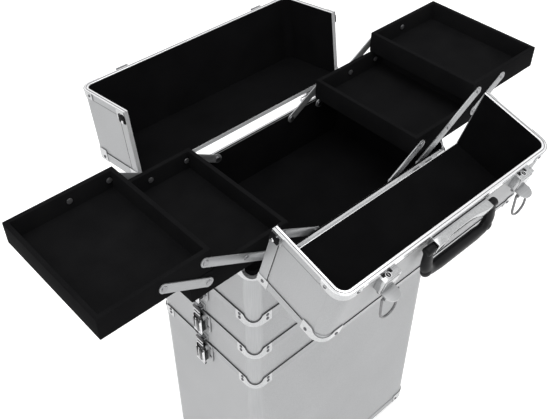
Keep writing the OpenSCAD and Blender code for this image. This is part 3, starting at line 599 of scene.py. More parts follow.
    @classmethod
    def dome(cls, name: str, radius: float, height: float) -> bpy.types.Object:
        """A flattened half ball that stands on the origin.

        Args:
            name: Its name.
            radius: Radius of its foot.
            height: Its height along Z.

        Returns:
            The dome.
        """
        cls.clear()
        around, rings = cls.DOME_SIDES
        bpy.ops.mesh.primitive_uv_sphere_add(segments=around, ring_count=rings, radius=1.0)
        made = bpy.context.object
        with cls.editing(made):
            bpy.ops.mesh.bisect(
                plane_co=(0, 0, 0), plane_no=AXIS_Z, use_fill=True, clear_inner=True
            )
        made.scale = (radius, radius, height)
        return cls.smooth(cls.settle(made, name), cls.DOME_SMOOTH)

    @classmethod
    def ball(
        cls, name: str, centre: Sequence[float], radii: Sequence[float]
    ) -> bpy.types.Object:
        """A ball stretched along the axes.

        Args:
            name: Its name.
            centre: Its middle.
            radii: Its reach along X, Y and Z.

        Returns:
            The ball.
        """
        cls.clear()
        around, rings = cls.BALL_SIDES
        bpy.ops.mesh.primitive_uv_sphere_add(
            segments=around, ring_count=rings, radius=1.0, location=Vector(centre)
        )
        bpy.context.object.scale = Vector(radii)
        return cls.smooth(cls.settle(bpy.context.object, name), cls.ROUND_SMOOTH)

    @classmethod
    def cord(
        cls, name: str, knots: Sequence[Knot], radius: float, closed: bool = False
    ) -> bpy.types.Object:
        """A round bead along a row of knots, turned into a mesh.

        Args:
            name: Its name.
            knots: Its places, each with a share of the radius.
            radius: Its full radius.
            closed: Whether its end joins its start.

        Returns:
            The bead.
        """
        cls.clear()
        curve = bpy.data.curves.new(name, "CURVE")
        curve.dimensions = "3D"
        curve.bevel_depth = radius
        curve.bevel_resolution = cls.CORD_ROUNDING
        curve.use_fill_caps = True
        spline = curve.splines.new("POLY")
        spline.points.add(len(knots) - 1)
        for point, (place, share) in zip(spline.points, knots):
            point.co = (*place, 1.0)
            point.radius = share
        spline.use_cyclic_u = closed
        cls.only(cls.linked(name, curve))
        bpy.ops.object.convert(target="MESH")
        return cls.smooth(cls.settle(bpy.context.object, name), cls.ROUND_SMOOTH)

    @classmethod
    def copy_node(cls, node: str, name: str) -> bpy.types.Object:
        """A clean copy of a CAD node: points merged and flat faces whole again.

        Args:
            node: The CAD node.
            name: Name of the copy.

        Returns:
            The copy, with a mesh of its own.
        """
        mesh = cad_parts[node].data.copy()
        mesh.name = name
        mesh.materials.clear()
        made = cls.linked(name, mesh)
        with cls.editing(made):
            bpy.ops.mesh.customdata_custom_splitnormals_clear()
            bpy.ops.mesh.remove_doubles(threshold=cls.MERGE)
            bpy.ops.mesh.dissolve_limited(angle_limit=math.radians(cls.FLAT))
            bpy.ops.mesh.normals_make_consistent(inside=False)
        return made

    @classmethod
    def turned(cls, obj: bpy.types.Object, turn: Matrix) -> bpy.types.Object:
        """Moves a finished mesh to its place."""
        obj.matrix_world = turn
        return cls.settle(obj, obj.name)

    @staticmethod
    def pattern(model: bpy.types.Object) -> bpy.types.Mesh:
        """Takes a model out of the scene and keeps its mesh to copy.

        Args:
            model: The piece, about the origin.

        Returns:
            Its mesh.
        """
        mesh = model.data
        bpy.data.objects.remove(model)
        return mesh

    @classmethod
    def copied(cls, pattern: bpy.types.Mesh, name: str, spot: Matrix) -> bpy.types.Object:
        """A copy of a pattern at its place, with a mesh of its own."""
        return cls.turned(cls.linked(name, pattern.copy()), spot)

    @classmethod
    def repeated(cls, model: bpy.types.Object, spots: Sequence[Matrix]) -> bpy.types.Object:
        """Makes one object of a piece's copies at several places.

        Args:
            model: The piece, about the origin.
            spots: The move to each place.

        Returns:
            The joined copies, under the model's name.
        """
        name, pattern = model.name, cls.pattern(model)
        copies = [cls.copied(pattern, name, spot) for spot in spots]
        bpy.data.meshes.remove(pattern)
        return cls.joined(name, copies)

    @classmethod
    def paired(cls, model: bpy.types.Object, reach: float, shift: float = 0.0) -> bpy.types.Object:
        """Makes one object of two copies, on both sides of the middle or of a place beside it."""
        spots = [Matrix.Translation((sign * reach + shift, 0.0, 0.0)) for sign in SIGNS]
        return cls.repeated(model, spots)

    @classmethod
    def bevel(
        cls, obj: bpy.types.Object, width: float, edge: Edge = Edge.EASED
    ) -> bpy.types.Object:
        """Rounds the edges of a mesh.

        Args:
            obj: The piece.
            width: Width of the rounding.
            edge: How finely it is rounded.

        Returns:
            The piece.
        """
        rounding = obj.modifiers.new("rounding", "BEVEL")
        rounding.width = width
        rounding.segments = edge.value
        rounding.limit_method = "ANGLE"
        rounding.angle_limit = math.radians(cls.BEVEL_FROM)
        cls.only(obj)
        bpy.ops.object.modifier_apply(modifier="rounding")
        return cls.smooth(obj)

    @classmethod
    def smooth(cls, obj: bpy.types.Object, angle: float = 35.0) -> bpy.types.Object:
        """Shades faces smooth across shallow edges.

        Args:
            obj: The piece.
            angle: Edges sharper than this stay sharp.

        Returns:
            The piece.
        """
        cls.only(obj)
        bpy.ops.object.shade_smooth_by_angle(angle=math.radians(angle))
        return obj

    @classmethod
    def joined(cls, name: str, pieces: Sequence[bpy.types.Object]) -> bpy.types.Object:
        """Makes one object of several.

        Args:
            name: Its name.
            pieces: What goes into it.

        Returns:
            The first piece, which holds them all.
        """
        cls.only(pieces[0])
        for piece in pieces[1:]:
            piece.select_set(True)
        bpy.ops.object.join()
        made = bpy.context.object
        made.name = name
        made.data.name = name
        return made


class Sweep:
    """A round outline drawn along a path by extruding and spinning its end loop."""

    SIDES: ClassVar[int] = 28
    MERGE: ClassVar[float] = 1e-6
    SMOOTH: ClassVar[float] = 45.0

    def __init__(self, name: str, start: Vector, width: float, depth: float) -> None:
        """Starts with an oval loop across Z.

        Args:
            name: Name of the piece.
            start: Centre of the first loop.
            width: Size of the oval along X.
            depth: Size of the oval along Y.
        """
        Bench.clear()
        bpy.ops.mesh.primitive_circle_add(vertices=self.SIDES, radius=0.5, fill_type="NOTHING")
        self.obj = bpy.context.object
        self.obj.scale = (width, depth, 1.0)
        self.obj.location = start
        Bench.settle(self.obj, name)
        self.here = Vector(start)
        bpy.context.tool_settings.mesh_select_mode = (False, True, False)
        bpy.ops.object.mode_set(mode="EDIT")
        bpy.ops.mesh.select_all(action="SELECT")

    def go(self, step: Sequence[float], swell: Sequence[float] = (1.0, 1.0, 1.0)) -> None:
        """Draws the loop on and scales it there.

        Args:
            step: Way to the next loop.
            swell: Its scale along X, Y and Z.
        """
        Bench.extrude(step)
        self.here = self.here + Vector(step)
        bpy.ops.transform.resize(value=swell, center_override=self.here)

    def turn(self, centre: Sequence[float], axis: Sequence[float], degrees: float, steps: int) -> None:
        """Draws the loop round a centre, by the right-hand rule about the axis.

        Args:
            centre: Middle of the bend.
            axis: The line that it turns about.
            degrees: How far it turns.
            steps: Loops on the way.
        """
        bpy.ops.mesh.spin(
            steps=steps, dupli=False, angle=-math.radians(degrees), center=centre, axis=axis
        )
        spun = Matrix.Rotation(math.radians(degrees), 3, Vector(axis))
        self.here = Vector(centre) + spun @ (self.here - Vector(centre))

    def close(self) -> bpy.types.Object:
        """Caps both ends.

        Returns:
            The piece.
        """
        bpy.ops.mesh.select_all(action="DESELECT")
        bpy.ops.mesh.select_non_manifold()
        bpy.ops.mesh.edge_face_add()
        bpy.ops.mesh.select_all(action="SELECT")
        bpy.ops.mesh.remove_doubles(threshold=self.MERGE)
        bpy.ops.mesh.normals_make_consistent(inside=False)
        bpy.ops.object.mode_set(mode="OBJECT")
        return Bench.smooth(self.obj, self.SMOOTH)


@dataclass
class CaseSize:
    """Sizes of the case that its pieces share, in metres, and the lids' openings in degrees."""

    ARC_STEPS: ClassVar[int] = 16

    half_length: float = 0.180
    half_width: float = 0.102
    corner: float = 0.016
    rim: float = 0.607
    lid_low: float = 0.6075
    lid_high: float = 0.711
    seat: float = 0.00005
    split: float = 0.0005
    hinge_out: float = 0.110
    front_open: float = 105.5
    rear_open: float = 98.0
    trim: float = 0.0008
    profile: float = 0.013
    split_rim: float = 0.0095
    inner: float = 0.005
    bracket: float = 0.017
    ear: float = 0.014
    dip_radius: float = 0.0124
    dip_depth: float = 0.009
    joints: tuple[float, ...] = (0.398, 0.463, 0.528)
    base: float = 0.0212
    trim_edge: float = 0.0003
    bracket_edge: float = 0.00025
    leaf_edge: float = 0.0004
    fitting_shift: float = 0.008

    @property
    def lid_seat(self) -> float:
        """Height at which fittings sit on a shut lid."""
        return self.lid_high + self.seat

    @property
    def rivet_back(self) -> float:
        """Distance of an ear's rivets from the edge of the case."""
        return self.corner + self.ear / 2

    @property
    def rivet_out(self) -> float:
        """Height of a bracket's face, where its rivets sit, over the panels."""
        return 2 * self.trim

    @property
    def rivet_row(self) -> float:
        """Distance of a bracket's rivets from its outer edge."""
        return self.bracket / 3

    def lid_frame(self, lid: Lid) -> Matrix:
        """The turn that opens a lid from its shut place.

        Args:
            lid: Which half lid.

        Returns:
            The turn; the rear lid is drawn as a front lid and turned round.
        """
        degrees = self.rear_open if lid is Lid.REAR else self.front_open
        axis = Vector((0.0, -self.hinge_out, self.rim))
        opened = (
            Matrix.Translation(axis)
            @ Matrix.Rotation(math.radians(degrees), 4, "X")
            @ Matrix.Translation(-axis)
        )
        return Matrix.Rotation(math.pi, 4, "Z") @ opened if lid is Lid.REAR else opened

    def dip(self, across: float) -> float:
        """Depth of a corner bracket's dip.

        Args:
            across: Distance from the middle of the corner.

        Returns:
            The depth, which is 0 outside the dip.
        """
        if abs(across) >= self.dip_radius:
            return 0.0
        reach = math.sqrt(self.dip_radius**2 - across**2)
        return max(0.0, reach - (self.dip_radius - self.dip_depth))

    def arc(self, radius: float) -> Iterator[tuple[float, float]]:
        """Steps over a quarter turn.

        Args:
            radius: Radius of the turn.

        Yields:
            The angle of each step in radians, and the bracket's dip there.
        """
        for step in range(self.ARC_STEPS + 1):
            angle = math.radians(90.0 * step / self.ARC_STEPS)
            yield angle, self.dip(radius * math.sin(angle - math.radians(45.0)))


@dataclass
class Fitting:
    """What every sub-assembly shares: the case's sizes, finishing CAD nodes and adding pieces."""

    size: CaseSize

    def coat(self, finish: Finish, *nodes: str) -> None:
        """Gives CAD nodes a finish.

        Args:
            finish: The finish.
            nodes: Names of the nodes.
        """
        for node in nodes:
            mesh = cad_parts[node].data
            mesh.materials.clear()
            mesh.materials.append(finish.material())
            log.info("coated %s with %s", node, finish.name)

    def add(
        self, obj: bpy.types.Object, body: str, finish: Finish, *replaced: str
    ) -> bpy.types.Object:
        """Finishes a new piece and lets it ride on a body.

        Args:
            obj: The piece, in its place.
            body: The CAD body that carries it.
            finish: Its main finish.
            replaced: CAD nodes that it stands for.

        Returns:
            The piece.
        """
        if not obj.data.materials:
            obj.data.materials.append(finish.material())
        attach(obj, body)
        if replaced:
            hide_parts(*replaced)
        log.info("added %s on %s", obj.name, body)
        return obj

    def dress(
        self, node: str, body: str, finish: Finish, width: float, edge: Edge = Edge.EASED
    ) -> bpy.types.Object:
        """Puts a copy with rounded edges in a CAD node's place."""
        made = Bench.bevel(Bench.copy_node(node, node + "_dressed"), width, edge)
        return self.add(made, body, finish, node)

    def share(
        self, model: bpy.types.Object, nodes: Sequence[str], ending: str, finish: Finish
    ) -> None:
        """Puts copies of a piece in the places of CAD nodes, each on its node's own body.

        Args:
            model: The piece, about the origin.
            nodes: The nodes that the copies stand for.
            ending: What the copies' names have after the nodes' names.
            finish: Their main finish.
        """
        pattern = Bench.pattern(model)
        for node in nodes:
            low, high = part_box(node)
            made = Bench.copied(pattern, node + ending, Matrix.Translation((low + high) / 2))
            self.add(made, node, finish, node)

    def second(self, obj: bpy.types.Object, finish: Finish, test: FaceTest) -> None:
        """Gives some faces another finish.

        Args:
            obj: The piece.
            finish: The other finish.
            test: Picks the faces by centre and normal.
        """
        obj.data.materials.append(finish.material())
        place = len(obj.data.materials) - 1
        for face in obj.data.polygons:
            if test(face.center, face.normal):
                face.material_index = place

    def rivets(
        self,
        name: str,
        body: str,
        places: Sequence[Place],
        turn: Matrix | None = None,
        finish: Finish = PAINTED_SHADE_RIVET,
        radius: float = 0.0024,
        height: float = 0.0012,
    ) -> None:
        """Adds a set of domed rivet heads.

        Args:
            name: Name of the piece.
            body: The body that they ride on.
            places: Foot and outward direction of each head.
            turn: Turn from the places' frame to the case's.
            finish: Finish of the heads; by default chrome darkened as painted shade.
            radius: Radius of a head.
            height: Height of a head.
        """
        spots = [Bench.stand(foot, out) for foot, out in places]
        made = Bench.repeated(Bench.dome(name, radius, height), spots)
        if turn is not None:
            Bench.turned(made, turn)
        self.add(made, body, finish)


@dataclass
class CaseShell(Fitting):
    """The four stacked sections with their posts, profiles, brackets, linings, and dark seam beads for
    the joints' painted shade.
    """

    PANELS: ClassVar[tuple[str, ...]] = (
        "bin_panels",
        "lower_section_panels",
        "upper_section_panels",
        "top_panels",
    )
    CORNERS: ClassVar[tuple[tuple[float, float], ...]] = (
        (1.0, 1.0),
        (-1.0, 1.0),
        (-1.0, -1.0),
        (1.0, -1.0),
    )

    seam_radius: float = 0.00062
    seam_lift: float = 0.0003
    seam_out: float = 0.0012
    dip_share: float = 0.4
    rim_lip: float = 0.0024
    rim_depth: float = 0.002
    rim_facing: float = 0.8
    rivet_drops: tuple[float, float] = (0.0045, 0.0113)
    rim_rivet_drop: float = 0.0063

    def build(self) -> None:
        """Finishes the shell's nodes and adds its rivets and its seam beads, darkened as painted
        shade.
        """
        self.coat(LAMINATE, *self.PANELS)
        self.coat(SATIN_POST, "corner_posts")
        self.coat(VELVET, "case_linings")
        self.coat(TURNED, "pivot_pins", "wheel_axles")
        self.profiles()
        self.dress("corner_brackets", "case", POLISHED, self.size.bracket_edge, Edge.CRISP)
        self.dress("body_hinge_leaves", "case", CHROME, self.size.leaf_edge)
        for count, height in enumerate(self.size.joints, 1):
            # The joint's gap is real; the bead's near-black colour is painted shade in it.
            knots = self.seam(height + self.seam_lift)
            self.add(Bench.cord(f"joint_seam_{count}", knots, self.seam_radius, True), "case", SHADOW)
        self.rivets("bracket_rivets", "case", self.rivet_places())

    @property
    def lip(self) -> tuple[float, float]:
        """Distance from the middle to the inside of the rim's lip, along X and along Y."""
        return self.size.half_length - self.rim_lip, self.size.half_width - self.rim_lip

    def profiles(self) -> None:
        """Dresses the edge profiles: painted sheen on the rim's up-facing lip, and the lining folded
        over the rest.
        """
        trim = self.dress("edge_profiles", "case", SATIN_TRIM, self.size.trim_edge, Edge.CRISP)
        lip_x, lip_y = self.lip
        for sign in SIGNS:
            Bench.cut(trim, (sign * lip_x, 0.0, 0.0), AXIS_X)
            Bench.cut(trim, (0.0, sign * lip_y, 0.0), AXIS_Y)
        # Painted sheen on the rim faces that look up.
        self.second(trim, PAINTED_SHEEN_TRIM, self.on_rim)
        self.second(trim, VELVET, self.is_folded)

    def on_rim(self, centre: Vector, normal: Vector) -> bool:
        """True for the faces on top of the case's rim."""
        return normal.z > self.rim_facing and centre.z > self.size.rim - self.rim_depth

    def is_folded(self, centre: Vector, normal: Vector) -> bool:
        """True for the faces of the rim inside its lip."""
        lip_x, lip_y = self.lip
        return abs(centre.x) < lip_x and abs(centre.y) < lip_y and self.on_rim(centre, normal)

    def seam(self, height: float) -> list[Knot]:
        """Draws the line of a joint round the case, for a dark bead that stands for the joint's gap
        with painted shade.

        Args:
            height: Height of the joint.

        Returns:
            Knots, thinner where the line dips at each rounded corner.
        """
        size = self.size
        radius = size.corner + self.seam_out
        knots = []
        for quarter, (x, y) in enumerate(self.CORNERS):
            centre = Vector(
                (x * (size.half_length - size.corner), y * (size.half_width - size.corner), height)
            )
            for angle, dip in size.arc(radius):
                turn = angle + quarter * math.pi / 2
                spot = Vector((radius * math.cos(turn), radius * math.sin(turn), -dip))
                knots.append((centre + spot, self.dip_share if dip > 0.0 else 1.0))
        return knots

    def rivet_places(self) -> list[Place]:
        """Finds the rivets on the corner brackets' ears.

        Returns:
            Foot and direction of each.
        """
        size = self.size
        long_x, long_y = size.half_length - size.rivet_back, size.half_width + size.rivet_out
        end_x, end_y = size.half_length + size.rivet_out, size.half_width - size.rivet_back
        levels = [top - drop for top in size.joints for drop in self.rivet_drops]
        levels.extend((size.rim - self.rim_rivet_drop, size.base + size.rivet_row))
        places = []
        for level in levels:
            for x in SIGNS:
                for y in SIGNS:
                    places.append((Vector((x * long_x, y * long_y, level)), Vector((0.0, y, 0.0))))
                    places.append((Vector((x * end_x, y * end_y, level)), Vector((x, 0.0, 0.0))))
        return places


@dataclass
class HalfLid(Fitting):
    """One half lid: panels, rims, brackets, lining, painted shade lines in its grooves, and end caps.
    """

    lid: Lid = Lid.FRONT
    # How far the split rim's painted highlight reaches past the inner face of its ends.
    highlight_lip: float = 0.0022
    groove: float = 0.0006
    panel_share: float = 0.8
    rim_share: float = 1.3
    bottom_share: float = 0.6
    thin_share: float = 0.62
    groove_gap: float = 0.0002
    groove_out: float = 0.0007
    end_groove_out: float = 0.0006
    rim_line: float = 0.0019
    slack: float = 0.0003
    turned_out: float = 0.5
    turned_up: float = 0.6
    cap_height: float = 0.0006
    cap_length: float = 0.0125
    cap_width: float = 0.0110
    cap_back: float = 0.0055
    cap_sink: float = 0.0002
    cap_edge: float = 0.0004
    eyelet_in: float = 0.0018
    eyelet_share: float = 0.4
    eyelet_radius: float = 0.0023
    eyelet_height: float = 0.0010

    @property
    def body(self) -> str:
        """The CAD body of the lid."""
        return self.lid.value

    @property
    def turn(self) -> Matrix:
        """The turn from the shut lid to the open one."""
        return self.size.lid_frame(self.lid)

    def build(self) -> None:
        """Finishes the lid's nodes and adds the painted shade lines of its grooves, its caps and
        rivets.
        """
        body = self.body
        self.coat(LAMINATE, body + "_panels")
        self.profiles()
        self.coat(VELVET, body + "_lining")
        self.dress(body + "_corners", body, POLISHED, self.size.bracket_edge, Edge.CRISP)
        self.dress(body + "_hinge_leaves", body, CHROME, self.size.leaf_edge)
        self.grooves()
        self.end_caps()
        self.rivets(body + "_rivets", body, self.rivet_places(), self.turn)

    def outline(self, out: float, y: float, dipped: bool) -> list[Knot]:
        """Draws a line over the shut lid from one end's bottom to the other's.

        Args:
            out: Distance out of the panels.
            y: Where the line lies across the lid.
            dipped: Whether it follows the corner brackets' dips.

        Returns:
            Knots, at full thickness only in a dip.
        """
        size = self.size
        radius = size.corner + out
        knots = []
        for sign in SIGNS:
            centre = Vector((sign * (size.half_length - size.corner), y, size.lid_high - size.corner))
            foot = Vector((sign * (size.half_length + out), y, size.lid_low))
            part = [(foot, self.thin_share)]
            for angle, corner_dip in size.arc(radius):
                dip = corner_dip if dipped else 0.0
                spot = Vector((sign * radius * math.cos(angle), -dip, radius * math.sin(angle)))
                part.append((centre + spot, 1.0 if dip > 0.0 else self.thin_share))
            knots.extend(part if sign < 0 else reversed(part))
        return knots

    def grooves(self) -> None:
        """Painted shade lines in the grooves where the panels meet the edge angle, the split rim and
        the bottom rim.
        """
        size = self.size
        hinge_side = -size.half_width + size.profile + self.groove_gap
        split_side = -size.split - size.split_rim - self.groove_gap
        panel = self.groove * self.panel_share
        rows = (
            ("hinge", hinge_side, self.groove_out, panel, True, SHADOW),
            ("split", split_side, self.groove_out, panel, False, GROOVE_SHADE),
            ("rim", -size.split, -self.rim_line, self.groove * self.rim_share, False, GROOVE_SHADE),
        )
        # Each cord is a painted shade line: near-black in the hinge groove, grey in the split and rim
        # grooves.
        for name, y, out, radius, dipped, finish in rows:
            line = Bench.cord(f"{self.body}_{name}_groove", self.outline(out, y, dipped), radius)
            self.add(Bench.turned(line, self.turn), self.body, finish)
        # Painted shade lines in the bottom grooves of the ends.
        level = size.lid_low + size.profile + self.groove_gap
        for side in Side:
            x = side.value * (size.half_length + self.end_groove_out)
            ends = [(Vector((x, y, level)), 1.0) for y in (hinge_side, split_side)]
            name = f"{self.body}_{side.word}_bottom_groove"
            line = Bench.cord(name, ends, self.groove * self.bottom_share)
            self.add(Bench.turned(line, self.turn), self.body, SHADOW)

    @property
    def lip(self) -> float:
        """Distance from the middle to where the painted highlight on the split rim ends."""
        return self.size.half_length - self.size.inner + self.highlight_lip

    def profiles(self) -> None:
        """Dresses the rims and edge angle: painted highlight on the split rim, painted sheen on the
        bottom edge.
        """
        trim = self.dress(
            self.body + "_profiles", self.body, SATIN_TRIM, self.size.trim_edge, Edge.CRISP
        )
        for sign in SIGNS:
            Bench.cut(trim, (sign * self.lip, 0.0, 0.0), AXIS_X)
        # Painted highlight on the rim faces that look up or towards the split.
        self.second(trim, PAINTED_HIGHLIGHT_TRIM, self.gets_painted_highlight)
        # Painted sheen on the split rim's outer ends and the faces under the lid.
        self.second(trim, PAINTED_SHEEN_TRIM, self.gets_painted_sheen)

    def shut_face(self, centre: Vector, normal: Vector) -> Place:
        """Place and direction of a face as they are on the shut lid."""
        shut = self.turn.inverted()
        return shut @ centre, shut.to_3x3() @ normal

    def gets_painted_highlight(self, centre: Vector, normal: Vector) -> bool:
        """Picks faces for the painted highlight: the split rim's long faces and inner lip, and the
        hinge lip.

        Args:
            centre: Middle of a face.
            normal: Direction of the face.

        Returns:
            Whether the face gets the painted highlight.
        """
        spot, facing = self.shut_face(centre, normal)
        size = self.size
        if spot.y > -size.split - size.split_rim - self.slack:
            return (facing.y > self.turned_out and abs(spot.x) < self.lip) or facing.z > self.turned_up
        return spot.z < size.lid_low + size.profile and facing.y > self.turned_out

    def gets_painted_sheen(self, centre: Vector, normal: Vector) -> bool:
        """Picks faces for the painted sheen: the outer half of the split rim's ends, and the edge
        under the lid.

        Args:
            centre: Middle of a face.
            normal: Direction of the face.

        Returns:
            Whether the face gets the painted sheen.
        """
        spot, facing = self.shut_face(centre, normal)
        near_split = spot.y > -self.size.split - 2 * self.slack and facing.y > self.turned_out
        under = spot.z < self.size.lid_low + 2 * self.slack and facing.z < -self.turned_out
        return (near_split and abs(spot.x) > self.lip) or under

    def end_caps(self) -> None:
        """Black caps over the bottom corner plates at the split, each with a bright eyelet."""
        size = self.size
        y_near = -size.split - self.cap_back
        y_far = y_near - self.cap_width
        half = self.cap_height + size.trim / 2
        middle = size.half_length + size.trim + half
        cap = Bench.block(
            self.body + "_end_caps",
            (-half, y_far, size.lid_low - self.cap_sink),
            (half, y_near, size.lid_low + self.cap_length),
        )
        made = Bench.paired(Bench.bevel(cap, self.cap_edge), middle)
        self.add(Bench.turned(made, self.turn), self.body, DULL_BLACK)
        level = size.lid_low + self.eyelet_share * self.cap_length
        eyelets = [
            (Vector((sign * (middle + half), y_far + self.eyelet_in, level)), Vector((sign, 0.0, 0.0)))
            for sign in SIGNS
        ]
        name = self.body + "_eyelets"
        self.rivets(
            name, self.body, eyelets, self.turn, CHROME, self.eyelet_radius, self.eyelet_height
        )

    def rivet_places(self) -> list[Place]:
        """Finds the rivets on the shut lid's brackets and hinge-side plates.

        Returns:
            Foot and direction of each.
        """
        size = self.size
        back, out = size.rivet_back, size.rivet_out
        rows = (
            -size.half_width - size.trim + size.rivet_row,
            -size.split - size.split_rim / 2,
        )
        plate = -size.half_width + (size.ear - size.trim) / 2
        places = []
        for sign in SIGNS:
            end = sign * (size.half_length + out)
            across = Vector((sign, 0.0, 0.0))
            for y in rows:
                places.append((Vector((end, y, size.lid_high - back)), across))
                top = Vector((sign * (size.half_length - back), y, size.lid_high + out))
                places.append((top, Vector(AXIS_Z)))
            places.append((Vector((end, plate, size.lid_low + size.bracket / 2)), across))
        return places


@dataclass
class CarryHandle(Fitting):
    """Black grip on a bowed chrome strip on the front lid.

    Each station of the strip is its distance from the middle, with its width and its height there
    as shares of those in the middle.
    """

    STATIONS: ClassVar[tuple[tuple[float, float, float], ...]] = (
        (0.016, 1.04, 1.02),
        (0.022, 1.14, 1.07),
        (0.028, 1.32, 1.16),
        (0.033, 1.54, 1.26),
        (0.0375, 1.72, 1.33),
        (0.048, 1.74, 1.35),
    )

    pivot_in: float = 0.0185
    pivot_up: float = 0.008
    leg_x: float = 0.0565
    drop: float = 0.035
    bend: float = 0.0145
    bend_steps: int = 8
    leg_width: float = 0.0155
    leg_depth: float = 0.0105
    pivot_share: float = 0.66
    neck: float = 0.007
    neck_swell: float = 1.22
    shoulder: float = 0.007
    wide_before_bend: float = 0.4
    deep_before_bend: float = 0.5
    taper: float = 0.010
    grip_height: float = 0.018
    grip_depth: float = 0.013
    knob_inset: float = 0.0024
    knob_radii: tuple[float, float, float] = (0.0082, 0.0064, 0.0084)
    cap_radius: float = 0.0055
    cap_edge: float = 0.0012
    stub_length: float = 0.012
    stub_radius: float = 0.0024
    strip_middle: float = 0.010
    strip_edge: float = -0.0105
    strip_width: float = 0.0082
    strip_height: float = 0.0100
    strip_rounding: float = 0.0009
    gap_reach: float = 0.047
    gap_in: float = 0.0004
    gap_up: float = 0.0008
    gap_radius: float = 0.0009

    @property
    def pivot(self) -> Vector:
        """Middle of the line between the grip's pivots, on the open lid."""
        shut = Vector((0.0, -self.pivot_in, self.size.lid_high + self.pivot_up))
        return self.size.lid_frame(Lid.FRONT) @ shut

    def build(self) -> None:
        """Makes the grip and the strip."""
        self.grip()
        self.strip()

    def bow(self) -> bpy.types.Object:
        """Sweeps the U of the grip, thinner at its pivots and thicker along its bar.

        Returns:
            The U, about the middle of the case.
        """
        _, y, z = self.pivot
        low = z - self.drop + self.bend
        swell = self.neck_swell
        narrow = self.pivot_share
        wide = self.grip_height / self.leg_width
        deep = self.grip_depth / self.leg_depth
        wide_first, deep_first = wide**self.wide_before_bend, deep**self.deep_before_bend
        wide_last, deep_last = wide / wide_first, deep / deep_first
        straight = self.drop - self.bend - self.neck - self.shoulder
        across = self.leg_x - self.bend
        start = Vector((self.leg_x, y, z))
        sweep = Sweep("carry_handle_grip_dressed", start, self.leg_width * narrow, self.leg_depth)
        sweep.go((0.0, 0.0, -self.neck), (swell, 1.0, 1.0))
        sweep.go((0.0, 0.0, -straight), (1 / narrow / swell, 1.0, 1.0))
        sweep.go((0.0, 0.0, -self.shoulder), (wide_first, deep_first, 1.0))
        sweep.turn((across, y, low), AXIS_Y, 90.0, self.bend_steps)
        sweep.go((-self.taper, 0.0, 0.0), (1.0, deep_last, wide_last))
        sweep.go((-2 * (across - self.taper), 0.0, 0.0))
        sweep.go((-self.taper, 0.0, 0.0), (1.0, 1 / deep_last, 1 / wide_last))
        sweep.turn((-across, y, low), AXIS_Y, 90.0, self.bend_steps)
        sweep.go((0.0, 0.0, self.shoulder), (1 / wide_first, 1 / deep_first, 1.0))
        sweep.go((0.0, 0.0, straight), (narrow * swell, 1.0, 1.0))
        sweep.go((0.0, 0.0, self.neck), (1 / swell, 1.0, 1.0))
        return sweep.close()

    def grip(self) -> None:
        """Joins the U with the round knobs at its corners and the caps and stubs on its pivots."""
        _, y, z = self.pivot
        knob = Bench.ball("knob", (0.0, y, z - self.drop + self.knob_inset), self.knob_radii)
        near = self.leg_x - self.leg_width / 2
        far = self.leg_x + self.leg_width * self.pivot_share / 2
        half_cap, half_stub = (far - near) / 2, self.stub_length / 2
        cap = Bench.rod("cap", (-half_cap, y, z), (half_cap, y, z), self.cap_radius)
        stub = Bench.rod("stub", (-half_stub, y, z), (half_stub, y, z), self.stub_radius)
        pieces = [
            self.bow(),
            Bench.paired(knob, self.leg_x - self.knob_inset),
            Bench.paired(Bench.bevel(cap, self.cap_edge), near + half_cap),
            Bench.paired(stub, near - half_stub),
        ]
        made = Bench.joined("carry_handle_grip_dressed", pieces)
        Bench.turned(made, Matrix.Translation((self.size.fitting_shift, 0.0, 0.0)))
        self.add(made, "carry_handle", BLACK, "carry_handle_grip")

    def strip(self) -> None:
        """Draws the strip out from its narrow middle to its wide raised ends, with a painted shadow
        line along its edge by the rim.
        """
        shift = self.size.fitting_shift
        foot = self.size.lid_seat
        made = Bench.block(
            "carry_handle_strip",
            (shift - self.strip_middle, self.strip_edge - self.strip_width, foot),
            (shift + self.strip_middle, self.strip_edge, foot + self.strip_height),
        )
        for sign in SIGNS:
            reached, wide, high = self.strip_middle, 1.0, 1.0
            for reach, broader, taller in self.STATIONS:
                anchor = Vector((shift + sign * reach, self.strip_edge, foot))
                with Bench.editing(made, Bench.facing((sign, 0.0, 0.0))):
                    Bench.extrude((sign * (reach - reached), 0.0, 0.0))
                    bpy.ops.transform.resize(
                        value=(1.0, broader / wide, taller / high), center_override=anchor
                    )
                reached, wide, high = reach, broader, taller
        turn = self.size.lid_frame(Lid.FRONT)
        Bench.turned(Bench.bevel(made, self.strip_rounding, Edge.ROUND), turn)
        self.add(made, "front_lid", STRIP, "carry_handle_plate")
        # A near-black cord along the strip's edge: painted shadow of the strip on the rim.
        y, z = self.strip_edge + self.gap_in, foot + self.gap_up
        ends = [(Vector((shift + sign * self.gap_reach, y, z)), 1.0) for sign in SIGNS]
        gap = Bench.cord("carry_handle_gap_shadow", ends, self.gap_radius)
        self.add(Bench.turned(gap, turn), "front_lid", SHADOW)


